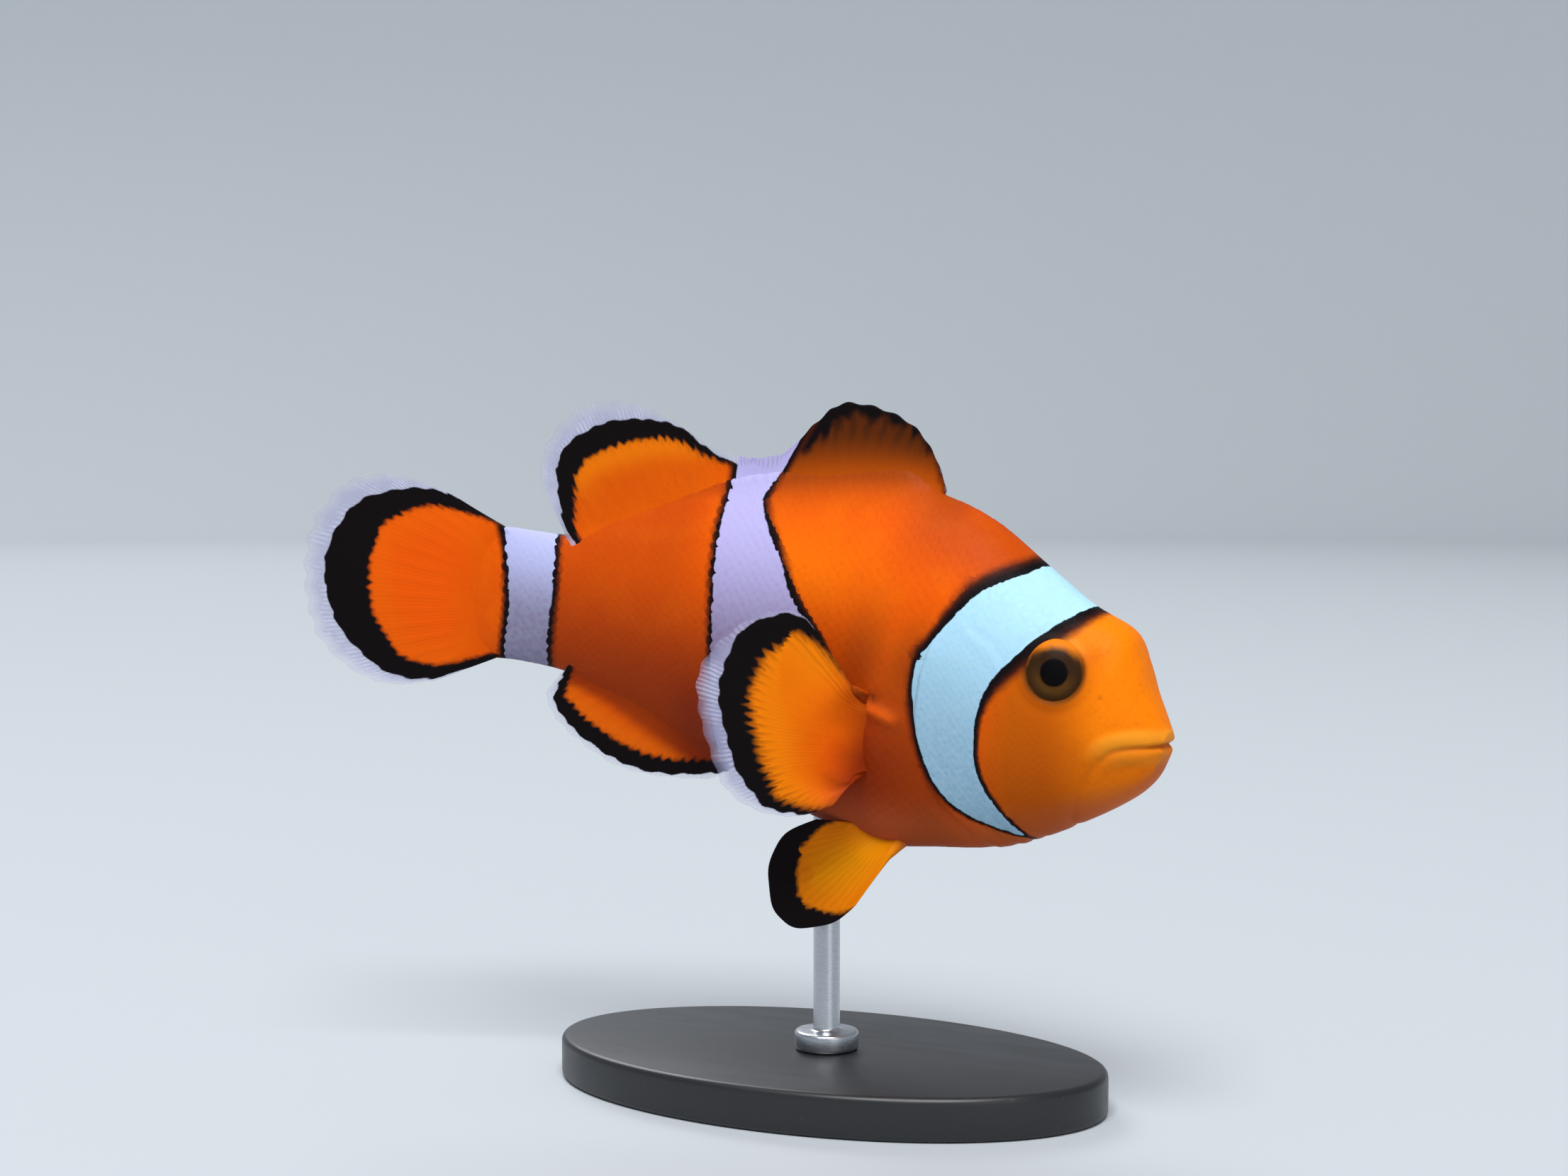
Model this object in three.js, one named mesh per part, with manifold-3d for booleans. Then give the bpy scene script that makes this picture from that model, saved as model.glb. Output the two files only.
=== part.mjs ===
// A life-size model of an adult clownfish (Amphiprion ocellaris) on a plain display stand.
// Units are millimetres, +Z is up, the head points along +X and the fish's right side faces -Y.
// The origin is the centre of the underside of the base.
//
// The fish is first modelled straight. A point of it is given by three lengths:
//   s  back from the tip of the snout, u  up from the axis of the body, v  out to the right.
// The finished pieces are then bent along two arcs, pitched nose-down and raised on the stand.

import * as THREE from 'three';
import { mergeVertices } from 'three/addons/utils/BufferGeometryUtils.js';
import Module from 'manifold-3d';

const wasm = await Module();
wasm.setup();

// ---------------------------------------------------------------- driving dimensions

const GAP = 0.3;

// pose
const AXIS_HEIGHT = 39.5;
const NOSE_DOWN = THREE.MathUtils.degToRad(9.8);
const REFERENCE_S = 30;
const TAIL_BEND_START = 34;
const TAIL_BEND_RADIUS = 135;
const HEAD_BEND_START = 20;
const HEAD_BEND_RADIUS = 300;

// body: each section joins a point of the back to a point of the belly, both as [s, u]
// width is half the breadth, crown and keel shape its upper and lower halves (1 is elliptical)
const SNOUT_TIP = [0.0, -0.1];
const TAIL_END = [68.5, 0.2];
const SECTIONS = [
  { back: [0.1, 1.0], belly: [0.05, -1.5], width: 1.5, crown: 0.95, keel: 0.95 },
  { back: [1.1, 2.6], belly: [0.45, -3.2], width: 2.6, crown: 0.93, keel: 0.95 },
  { back: [2.3, 4.5], belly: [1.6, -4.9], width: 3.5, crown: 0.9, keel: 0.95 },
  { back: [3.5, 6.9], belly: [3.6, -6.7], width: 4.3, crown: 0.88, keel: 0.95 },
  { back: [5.1, 9.1], belly: [6.2, -8.6], width: 5.1, crown: 0.88, keel: 0.95 },
  { back: [9.3, 10.6], belly: [9.6, -10.8], width: 5.9, crown: 0.92, keel: 0.93 },
  { back: [13.9, 13.1], belly: [13.6, -12.7], width: 6.6, crown: 1.0, keel: 0.92 },
  { back: [19.5, 16.2], belly: [18.9, -14.0], width: 7.1, crown: 1.2, keel: 0.9 },
  { back: [25.0, 17.6], belly: [25.0, -14.9], width: 7.2, crown: 1.4, keel: 0.9 },
  { back: [31.0, 17.1], belly: [31.0, -14.4], width: 6.9, crown: 1.45, keel: 0.93 },
  { back: [38.0, 15.7], belly: [38.0, -12.8], width: 6.1, crown: 1.45, keel: 1.05 },
  { back: [45.0, 13.7], belly: [45.0, -10.0], width: 5.0, crown: 1.4, keel: 1.25 },
  { back: [53.0, 10.6], belly: [52.0, -7.4], width: 3.7, crown: 1.3, keel: 1.25 },
  { back: [60.0, 7.5], belly: [59.0, -6.0], width: 2.5, crown: 1.0, keel: 1.0 },
  { back: [64.5, 7.0], belly: [64.5, -5.8], width: 1.8, crown: 0.95, keel: 0.95 },
  { back: [67.6, 6.9], belly: [67.4, -6.0], width: 1.2, crown: 0.9, keel: 0.9 },
];
const BODY_RINGS = 38;
const BODY_SIDES = 26;

// the parting behind the head, from the nape down the gill opening to the throat, as [s, u]
const GILL_OPENING = [
  [16.6, 18], [18.6, 11], [20.6, 6.5], [21.5, 2], [21.2, -3], [19.2, -8], [15.2, -11.6], [10.5, -15],
];
const GILL_COVER_FRONT = [
  [10.6, -12], [12.3, -7.5], [13.0, -3], [13.2, 1], [14.6, 4.9], [18.0, 7.0], [23.5, 7.4],
];
const GILL_COVER_REAR = [[23.5, 7], [23.5, -9], [17, -14], [12.5, -15.5]];
const GILL_COVER_DEPTH = 3.6;
const PARTING_STEPS = 14;

// how far the cutting slabs reach, past the body on every side
const PAST_SNOUT = -5;
const PAST_TAIL = 75;
const PAST_BACK = 20;
const PAST_BELLY = -20;
const PAST_FLANK = 12;

// mouth
const MOUTH_FRONT = [-2.0, 0.35];
const MOUTH_CORNER = [4.4, -1.95];
const JAW_REAR = [6.3, -12];
const JAW_FRONT = [-2.0, -12];
const LIP_RADIUS = 0.66;
const LIP_STEPS = 10;
const LIP_QUARTER_SIDES = 4;
const UPPER_LIP = {
  middle: [0.65, 0.75, 0],
  side: [[1.05, 0.5, 2.0], [2.2, -0.2, 3.1], [3.7, -1.15, 3.6]],
};
const LOWER_LIP = {
  middle: [0.6, -1.0, 0],
  side: [[1.0, -1.3, 1.95], [2.2, -1.9, 3.05], [3.8, -2.6, 3.55]],
};

// eyes
const EYE_CENTRE = { s: 9.9, u: 4.5, v: 4.55 };
const EYE_RADIUS = 2.75;
const EYE_DEPTH = 1.75;
const EYE_TURN = THREE.MathUtils.degToRad(14);
const EYE_LIFT = THREE.MathUtils.degToRad(6);
const EYE_MERIDIANS = 16;
const EYE_PARALLELS = 10;

// the tail's stem, which carries the caudal fin
const TAIL_STEM_START = 58.2;

// fins: each is a fan of rays from its base line to its margin, both as [s, u]
// notch is how far the web between two rays falls short of their tips, as a share of their length
// sway is the point from which a fin leans out to the right, and how steeply
// a fin has thinned to its edge thickness at FIN_THINNED_BY of the way out
const FIN_BASE_THICKNESS = 1.1;
const FIN_EDGE_THICKNESS = 0.5;
const FIN_STEPS = 3;
const FIN_THINNED_BY = 0.62;
const SPINY_DORSAL = {
  base: [[25.2, 15.5], [31.0, 15.5], [37.5, 14.4], [43.6, 12.2]],
  margin: [
    [24.6, 18.0], [26.2, 20.9], [28.6, 23.4], [32.3, 24.6],
    [36.1, 24.4], [38.5, 22.0], [41.0, 18.8], [44.0, 17.7],
  ],
  rays: 11,
  notch: 0.06,
};
const SOFT_DORSAL = {
  base: [[43.9, 12.2], [49.0, 10.4], [55.0, 7.9], [60.4, 5.4]],
  margin: [
    [44.3, 17.5], [48.0, 17.8], [53.0, 19.9], [57.2, 20.8],
    [61.6, 19.6], [64.5, 16.0], [64.6, 12.0], [62.0, 8.2],
  ],
  rays: 15,
  notch: 0.02,
  sway: { from: 50, slope: 0.04 },
};
const ANAL = {
  base: [[40.8, -10.6], [46.0, -8.2], [52.0, -6.0], [58.6, -4.6]],
  margin: [
    [40.2, -12.6], [43.6, -13.2], [48.0, -14.0], [52.6, -14.0],
    [57.0, -12.4], [60.0, -10.4], [61.0, -8.2], [59.8, -6.2],
  ],
  rays: 13,
  notch: 0.02,
  sway: { from: 45, slope: 0.03 },
};
const CAUDAL = {
  base: [[66.8, 6.4], [67.4, 3.0], [67.6, 0.2], [67.4, -2.8], [66.6, -5.9]],
  margin: [
    [73.0, 8.9], [77.0, 9.9], [81.2, 9.8], [84.6, 8.0], [86.6, 4.2], [86.9, 0.2],
    [86.2, -3.6], [84.6, -7.0], [81.2, -9.5], [77.0, -10.4], [72.5, -9.3],
  ],
  rays: 16,
  notch: 0.02,
  sway: { from: 67, slope: 0.03 },
};
const PECTORAL = {
  base: [[25.2, -2.0], [25.3, -3.8], [25.5, -5.8], [25.5, -7.8]],
  margin: [
    [30.0, 3.4], [32.2, 5.7], [35.4, 5.2], [38.6, 2.4], [40.2, -0.8], [39.7, -4.2],
    [38.3, -7.6], [36.4, -10.9], [33.2, -12.5], [29.8, -12.4], [27.0, -10.9],
  ],
  rays: 16,
  notch: 0.03,
  rootBreadth: 7.05,
  sway: { from: 22.5, slope: Math.tan(THREE.MathUtils.degToRad(22)) },
};
const PELVIC = {
  base: [[21.9, -13.6], [23.2, -13.7], [24.6, -13.7], [25.8, -13.5]],
  rays: 6,
  notch: 0.03,
  rootBreadth: 3.1,
  trail: 1.0,
  splay: 2.2,
};
const PELVIC_OPEN = [
  [24.4, -19.9], [26.6, -22.2], [30.2, -23.6], [32.8, -22.4], [34.1, -18.9], [33.2, -15.8], [30.4, -13.8],
];
const PELVIC_FOLDED = [
  [27.4, -19.0], [29.6, -20.9], [32.4, -21.6], [34.6, -20.6], [35.4, -18.4], [34.2, -16.2], [31.2, -14.1],
];

// stand
const BASE_LENGTH = 54;
const BASE_WIDTH = 32;
const BASE_THICKNESS = 4;
const BASE_BEVEL = 0.6;
const BASE_SIDES = 40;
const ROD_RADIUS = 1.25;
const ROD_SIDES = 24;
const ROD_S = 31.5;
const ROD_TOP_U = -11.6;
const ROD_TIP_BEVEL = 0.4;
const COLLAR_RADIUS = 3.0;
const COLLAR_HEIGHT = 1.8;
const COLLAR_BEVEL = 0.5;

// ---------------------------------------------------------------- materials

function finish(name, color, roughness, metalness = 0) {
  return new THREE.MeshStandardMaterial({ name, color, roughness, metalness });
}

const MATERIALS = {
  skin: finish('skin', 0xe0640f, 0.45),
  fin: finish('fin', 0xd97a12, 0.5),
  eye: finish('eye', 0x1c120c, 0.12),
  base: finish('base', 0x17181a, 0.42),
  rod: finish('rod', 0xb9bcc0, 0.3, 1),
};

// ---------------------------------------------------------------- solids and placing

function at(s, u, v = 0) {
  return new THREE.Vector3(REFERENCE_S - s, -v, u);
}

function toManifold(source) {
  const bare = source.clone();
  bare.deleteAttribute('normal');
  bare.deleteAttribute('uv');
  const merged = mergeVertices(bare, 1e-4);
  const mesh = new wasm.Mesh({
    numProp: 3,
    vertProperties: new Float32Array(merged.attributes.position.array),
    triVerts: new Uint32Array(merged.index.array),
  });
  return new wasm.Manifold(mesh);
}

function toGeometry(manifold) {
  const mesh = manifold.getMesh();
  const geometry = new THREE.BufferGeometry();
  geometry.setAttribute('position', new THREE.BufferAttribute(new Float32Array(mesh.vertProperties), 3));
  geometry.setIndex(new THREE.BufferAttribute(new Uint32Array(mesh.triVerts), 1));
  geometry.computeVertexNormals();
  return geometry;
}

// a closed skin through rings of points, with a point at either end
function loft(rings, sides, ringPoint, firstPoint, lastPoint) {
  const points = [firstPoint];
  for (let i = 0; i < rings; i += 1) {
    for (let j = 0; j < sides; j += 1) {
      points.push(ringPoint(i / (rings - 1), (2 * Math.PI * j) / sides));
    }
  }
  points.push(lastPoint);
  const faces = [];
  const index = (i, j) => 1 + i * sides + (j % sides);
  for (let j = 0; j < sides; j += 1) {
    faces.push(0, index(0, j), index(0, j + 1));
    faces.push(points.length - 1, index(rings - 1, j + 1), index(rings - 1, j));
    for (let i = 0; i < rings - 1; i += 1) {
      faces.push(index(i, j), index(i + 1, j), index(i + 1, j + 1));
      faces.push(index(i, j), index(i + 1, j + 1), index(i, j + 1));
    }
  }
  const geometry = new THREE.BufferGeometry().setFromPoints(points);
  geometry.setIndex(faces);
  return geometry;
}

// a smooth run of points through a few given ones
function smoothRun(points, count) {
  return throughPoints(points).getPoints(count).map((p) => [p.x, p.y]);
}

function throughPoints(points) {
  return new THREE.SplineCurve(points.map(([s, u]) => new THREE.Vector2(s, u)));
}

// a slab with a given outline in the fish's side view, reaching from one breadth to another
function sideSlab(outline, fromV, toV) {
  const shape = new THREE.Shape(outline.map(([s, u]) => new THREE.Vector2(-s, u)));
  const slab = new THREE.ExtrudeGeometry(shape, { depth: toV - fromV, bevelEnabled: false });
  slab.rotateX(Math.PI / 2);
  slab.translate(REFERENCE_S, -fromV, 0);
  return toManifold(slab);
}

function mirrored(manifold) {
  return manifold.mirror([0, 1, 0]);
}

// bends a straight piece along the two arcs of the swimming pose
function bend(geometry) {
  const tailX = REFERENCE_S - TAIL_BEND_START;
  const headX = REFERENCE_S - HEAD_BEND_START;
  const position = geometry.attributes.position;
  for (let i = 0; i < position.count; i += 1) {
    const x = position.getX(i);
    const y = position.getY(i);
    if (x < tailX) {
      const angle = (tailX - x) / TAIL_BEND_RADIUS;
      const radius = TAIL_BEND_RADIUS + y;
      position.setX(i, tailX - radius * Math.sin(angle));
      position.setY(i, radius * Math.cos(angle) - TAIL_BEND_RADIUS);
    } else if (x > headX) {
      const angle = (x - headX) / HEAD_BEND_RADIUS;
      const radius = HEAD_BEND_RADIUS + y;
      position.setX(i, headX + radius * Math.sin(angle));
      position.setY(i, radius * Math.cos(angle) - HEAD_BEND_RADIUS);
    }
  }
  geometry.computeVertexNormals();
  return geometry;
}

// the fish stands over the base so that the top of the rod is on the base's centre line
const fish = new THREE.Group();
fish.rotation.y = NOSE_DOWN;
fish.position.x = -at(ROD_S, ROD_TOP_U).applyEuler(fish.rotation).x;
fish.position.z = AXIS_HEIGHT;
fish.updateMatrix();

const stand = new THREE.Group();

function addFishPiece(name, manifold, material) {
  const mesh = new THREE.Mesh(bend(toGeometry(manifold)), material);
  mesh.name = name;
  fish.add(mesh);
}

// ---------------------------------------------------------------- body

const backLine = new THREE.SplineCurve(SECTIONS.map((k) => new THREE.Vector2(...k.back)));
const bellyLine = new THREE.SplineCurve(SECTIONS.map((k) => new THREE.Vector2(...k.belly)));
const breadthLine = new THREE.SplineCurve(SECTIONS.map((k) => new THREE.Vector2(k.width, k.crown)));
const keelLine = new THREE.SplineCurve(SECTIONS.map((k) => new THREE.Vector2(k.keel, 0)));

// the whole body, with every surface moved out by grow
function bodySolid(grow = 0) {
  const ringPoint = (t, angle) => {
    const back = backLine.getPoint(t);
    const belly = bellyLine.getPoint(t);
    const rise = back.clone().sub(belly);
    const half = rise.length() / 2 + grow;
    rise.normalize();
    const middle = back.add(belly).multiplyScalar(0.5);
    const height = half * Math.cos(angle);
    const power = height > 0 ? breadthLine.getPoint(t).y : keelLine.getPoint(t).x;
    const side = Math.sin(angle);
    const breadth = (breadthLine.getPoint(t).x + grow) * Math.sign(side) * Math.abs(side) ** power;
    return at(middle.x + rise.x * height, middle.y + rise.y * height, breadth);
  };
  const snout = at(SNOUT_TIP[0] - grow, SNOUT_TIP[1]);
  const tail = at(TAIL_END[0] + grow, TAIL_END[1]);
  return toManifold(loft(BODY_RINGS, BODY_SIDES, ringPoint, snout, tail));
}

// a lip runs round the snout from one corner of the mouth to the other
function lip({ middle, side }) {
  const near = side.map(([s, u, v]) => at(s, u, v));
  const far = side.map(([s, u, v]) => at(s, u, -v)).reverse();
  const path = new THREE.CatmullRomCurve3([...far, at(...middle), ...near]);
  const section = new THREE.Shape().absarc(0, 0, LIP_RADIUS, 0, 2 * Math.PI);
  return toManifold(new THREE.ExtrudeGeometry(section, {
    steps: LIP_STEPS,
    curveSegments: LIP_QUARTER_SIDES,
    bevelEnabled: false,
    extrudePath: path,
  }));
}

// all that lies in front of the gill opening
function headRegion(grow) {
  const rear = smoothRun(GILL_OPENING, PARTING_STEPS).map(([s, u]) => [s + grow, u]);
  return sideSlab([[PAST_SNOUT, PAST_BELLY], [PAST_SNOUT, PAST_BACK], ...rear], -PAST_FLANK, PAST_FLANK);
}

function gillCoverRegion(grow) {
  const front = smoothRun(GILL_COVER_FRONT, PARTING_STEPS).map(([s, u]) => [s - grow, u + grow]);
  return sideSlab([...GILL_COVER_REAR, ...front], GILL_COVER_DEPTH - grow, PAST_FLANK);
}

function jawRegion(grow) {
  const corners = [MOUTH_FRONT, MOUTH_CORNER, JAW_REAR, JAW_FRONT];
  return sideSlab(corners.map(([s, u]) => [s + grow, u + grow]), -PAST_FLANK, PAST_FLANK);
}

function stemRegion(grow) {
  const start = TAIL_STEM_START - grow;
  const outline = [[start, PAST_BELLY], [start, PAST_BACK], [PAST_TAIL, PAST_BACK], [PAST_TAIL, PAST_BELLY]];
  return sideSlab(outline, -PAST_FLANK, PAST_FLANK);
}

function eyeBall(grow) {
  const ball = new THREE.SphereGeometry(1, EYE_MERIDIANS, EYE_PARALLELS);
  ball.scale(EYE_RADIUS + grow, EYE_DEPTH + grow, EYE_RADIUS + grow);
  ball.rotateX(-EYE_LIFT);
  ball.rotateZ(EYE_TURN);
  const centre = at(EYE_CENTRE.s, EYE_CENTRE.u, EYE_CENTRE.v);
  ball.translate(centre.x, centre.y, centre.z);
  return toManifold(ball);
}

const rodTop = at(ROD_S, ROD_TOP_U).applyMatrix4(fish.matrix);

// the space that the rod takes in the belly, in the fish's own frame
function rodHole() {
  const bore = new THREE.CylinderGeometry(ROD_RADIUS + GAP, ROD_RADIUS + GAP, rodTop.z + GAP, ROD_SIDES);
  bore.rotateX(Math.PI / 2);
  bore.translate(0, 0, (rodTop.z + GAP) / 2);
  bore.applyMatrix4(fish.matrix.clone().invert());
  return toManifold(bore);
}

function buildBody() {
  const whole = bodySolid();
  const withLips = whole.add(lip(UPPER_LIP)).add(lip(LOWER_LIP));
  const eyeRight = eyeBall(0);
  const socket = eyeBall(GAP);
  const front = withLips.intersect(headRegion(0)).subtract(socket).subtract(mirrored(socket));

  const cover = front.intersect(gillCoverRegion(0));
  addFishPiece('gill_cover_right', cover, MATERIALS.skin);
  addFishPiece('gill_cover_left', mirrored(cover), MATERIALS.skin);

  const coverSpace = gillCoverRegion(GAP);
  const skull = front.subtract(coverSpace).subtract(mirrored(coverSpace));
  addFishPiece('head', skull.subtract(jawRegion(GAP)), MATERIALS.skin);
  addFishPiece('lower_jaw', skull.intersect(jawRegion(0)), MATERIALS.skin);
  addFishPiece('eye_right', eyeRight, MATERIALS.eye);
  addFishPiece('eye_left', mirrored(eyeRight), MATERIALS.eye);

  const trunk = whole.subtract(stemRegion(GAP)).subtract(headRegion(GAP)).subtract(rodHole());
  addFishPiece('trunk', trunk, MATERIALS.skin);
  addFishPiece('tail_stem', whole.intersect(stemRegion(0)), MATERIALS.skin);
}

// ---------------------------------------------------------------- fins

// a web stretched over a fan of rays, thick at the base and thin at the edge, made from a flat
// block whose length runs across the rays and whose height runs out along them
// facing is 1 or -1, so that the block's faces still point outwards once it is in place
function finSolid(fin, margin, facing, breadthAt) {
  const baseLine = throughPoints(fin.base);
  const marginLine = throughPoints(margin);
  const block = new THREE.BoxGeometry(1, 1, 1, fin.rays * 2, FIN_STEPS, 1);
  const position = block.attributes.position;
  for (let i = 0; i < position.count; i += 1) {
    const across = position.getX(i) + 0.5;
    const out = position.getY(i) + 0.5;
    const betweenRays = Math.round(across * fin.rays * 2) % 2 === 1;
    const reach = betweenRays ? 1 - fin.notch * out : 1;
    const point = baseLine.getPoint(across).lerp(marginLine.getPoint(across), out * reach);
    const thinning = Math.min(1, out / FIN_THINNED_BY);
    const thickness = THREE.MathUtils.lerp(FIN_BASE_THICKNESS, FIN_EDGE_THICKNESS, thinning);
    const breadth = breadthAt(point.x, across, out) + facing * position.getZ(i) * thickness;
    position.setXYZ(i, ...at(point.x, point.y, breadth).toArray());
  }
  return toManifold(block);
}

// a fin that leans further out to the right the further back it goes
function swayingFin(fin, facing) {
  const { from, slope } = fin.sway ?? { from: 0, slope: 0 };
  const root = fin.rootBreadth ?? 0;
  return finSolid(fin, fin.margin, facing, (s) => root + slope * Math.max(0, s - from));
}

function pelvicFin(margin) {
  const { rootBreadth, trail, splay } = PELVIC;
  return finSolid(PELVIC, margin, 1, (s, across, out) => rootBreadth + out * (trail + splay * (1 - across)));
}

function buildFins() {
  const parts = {
    dorsal_fin_spiny: swayingFin(SPINY_DORSAL, -1),
    dorsal_fin_soft: swayingFin(SOFT_DORSAL, -1),
    anal_fin: swayingFin(ANAL, 1),
    caudal_fin: swayingFin(CAUDAL, -1),
    pectoral_fin_right: swayingFin(PECTORAL, -1),
    pectoral_fin_left: mirrored(swayingFin(PECTORAL, -1)),
    pelvic_fin_right: pelvicFin(PELVIC_OPEN),
    pelvic_fin_left: mirrored(pelvicFin(PELVIC_FOLDED)),
  };
  const clearOfBody = bodySolid(GAP);
  for (const [name, solid] of Object.entries(parts)) {
    addFishPiece(name, solid.subtract(clearOfBody), MATERIALS.fin);
  }
}

// ---------------------------------------------------------------- stand

function basePlate() {
  const half = [BASE_LENGTH / 2 - BASE_BEVEL, BASE_WIDTH / 2 - BASE_BEVEL];
  const outline = new THREE.Shape().absellipse(0, 0, half[0], half[1], 0, 2 * Math.PI);
  const plate = new THREE.ExtrudeGeometry(outline, {
    depth: BASE_THICKNESS - 2 * BASE_BEVEL,
    bevelThickness: BASE_BEVEL,
    bevelSize: BASE_BEVEL,
    bevelSegments: 2,
    curveSegments: BASE_SIDES / 2,
  });
  plate.translate(0, 0, BASE_BEVEL);
  return toManifold(plate);
}

// one turned piece: a foot collar with a chamfer, and the rod up into the belly
function rodWithCollar() {
  const length = rodTop.z - BASE_THICKNESS;
  const profile = [
    [0, 0],
    [COLLAR_RADIUS, 0],
    [COLLAR_RADIUS, COLLAR_HEIGHT - COLLAR_BEVEL],
    [COLLAR_RADIUS - COLLAR_BEVEL, COLLAR_HEIGHT],
    [ROD_RADIUS, COLLAR_HEIGHT],
    [ROD_RADIUS, length - ROD_TIP_BEVEL],
    [ROD_RADIUS - ROD_TIP_BEVEL, length],
    [0, length],
  ];
  const turned = new THREE.LatheGeometry(profile.map(([r, z]) => new THREE.Vector2(r, z)), ROD_SIDES);
  turned.rotateX(Math.PI / 2);
  return toManifold(turned);
}

function buildStand() {
  const base = new THREE.Mesh(toGeometry(basePlate()), MATERIALS.base);
  base.name = 'stand_base';
  stand.add(base);
  const rod = new THREE.Mesh(toGeometry(rodWithCollar()), MATERIALS.rod);
  rod.name = 'stand_rod';
  rod.position.z = BASE_THICKNESS;
  stand.add(rod);
}

buildBody();
buildFins();
buildStand();

const model = new THREE.Group();
model.add(fish);
model.add(stand);
export default model;
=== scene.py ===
"""A life-size clownfish (Amphiprion ocellaris) on a plain display stand.

The fish's own lengths are millimetres in body coordinates: s runs back from the tip of the
snout, u up from the axis of the body and v out to the right. SwimPose bends, pitches and raises
them into the frame of the CAD model, which is in metres.
"""
import logging
import math
from collections.abc import Callable, Iterator
from contextlib import contextmanager
from dataclasses import dataclass, field
from enum import Enum

import bpy
import numpy as np
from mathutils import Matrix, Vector


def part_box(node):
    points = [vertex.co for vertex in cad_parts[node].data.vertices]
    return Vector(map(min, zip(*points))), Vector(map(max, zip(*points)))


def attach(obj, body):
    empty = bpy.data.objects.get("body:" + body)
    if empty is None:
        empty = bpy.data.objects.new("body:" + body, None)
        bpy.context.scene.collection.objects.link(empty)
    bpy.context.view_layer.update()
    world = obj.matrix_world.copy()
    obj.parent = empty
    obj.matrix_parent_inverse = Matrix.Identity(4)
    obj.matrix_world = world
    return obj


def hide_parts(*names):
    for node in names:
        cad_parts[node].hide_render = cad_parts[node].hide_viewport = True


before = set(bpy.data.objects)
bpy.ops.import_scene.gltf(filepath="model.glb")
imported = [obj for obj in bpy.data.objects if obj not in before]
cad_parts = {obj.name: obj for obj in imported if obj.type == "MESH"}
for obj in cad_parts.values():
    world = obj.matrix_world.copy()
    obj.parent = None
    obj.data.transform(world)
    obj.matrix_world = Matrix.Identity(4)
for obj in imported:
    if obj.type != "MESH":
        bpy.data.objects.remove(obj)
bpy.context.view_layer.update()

BODY = "root"
MM = 0.001
COAT_DEPTH = 0.05

Array = np.ndarray
Arrays = tuple[Array, ...]
Fields = dict[str, Array]
Pair = tuple[float, float]
Ramp = Pair
Triple = tuple[float, float, float]
Colour = Triple
Path = tuple[tuple[float, ...], ...]
Piece = bpy.types.Object
Material = bpy.types.Material
Socket = bpy.types.NodeSocket

log = logging.getLogger("clownfish")


class Side(Enum):
    """The two flanks of the fish, as the sign of v."""

    RIGHT = 1
    LEFT = -1


# ---- plain numbers


def colour(red: int, green: int, blue: int) -> Colour:
    """A colour given as it shows on a screen, 0 to 255, in the linear light that shaders use."""
    shown = [c / 255 for c in (red, green, blue)]
    return tuple(c / 12.92 if c < 0.04 else ((c + 0.055) / 1.055) ** 2.4 for c in shown)


def smooth(value: Array, start: float, end: float) -> Array:
    """0 before start and 1 after end, with a soft step between them.

    Args:
        value: the numbers to judge.
        start: where the step begins.
        end: where it ends, which may be less than start.

    Returns:
        An array of shares.
    """
    t = np.clip((value - start) / (end - start), 0, 1)
    return t * t * (3 - 2 * t)


def hump(distance: Array, width: float) -> Array:
    """A bell of height 1 and the given half-width."""
    return np.exp(-((distance / width) ** 2))


def spline(points: Path, t: Array) -> Array:
    """A smooth curve through a few points.

    Args:
        points: the points, each with any number of coordinates.
        t: places along the curve, from 0 to 1.

    Returns:
        One point for each t.
    """
    p = np.array(points, float)
    last = len(p) - 1
    along = np.clip(t, 0, 1) * last
    i = np.minimum(along.astype(int), last - 1)
    w = (along - i)[..., None]
    before, here, there, after = (p[np.clip(i + k, 0, last)] for k in (-1, 0, 1, 2))
    leave, arrive = (there - before) / 2, (after - here) / 2
    cubic = (2 * here - 2 * there + leave + arrive) * w**3
    return cubic + (3 * there - 3 * here - 2 * leave - arrive) * w**2 + leave * w + here


@dataclass(frozen=True)
class Ridge:
    """A rounded ridge along a line, or a groove where its height is negative."""

    off: float
    width: float
    height: float

    def rise(self, distance: Array) -> Array:
        """How high it stands at a distance from the line that it runs beside."""
        return self.height * hump(distance - self.off, self.width)


@dataclass(frozen=True)
class Patch:
    """A soft oval in the side view: its middle, and its half-widths along and up."""

    s: float
    u: float
    long: float
    tall: float

    def share(self, s: Array, u: Array) -> Array:
        """1 at its middle, fading outwards."""
        return hump(np.hypot((s - self.s) / self.long, (u - self.u) / self.tall), 1.0)


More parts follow.
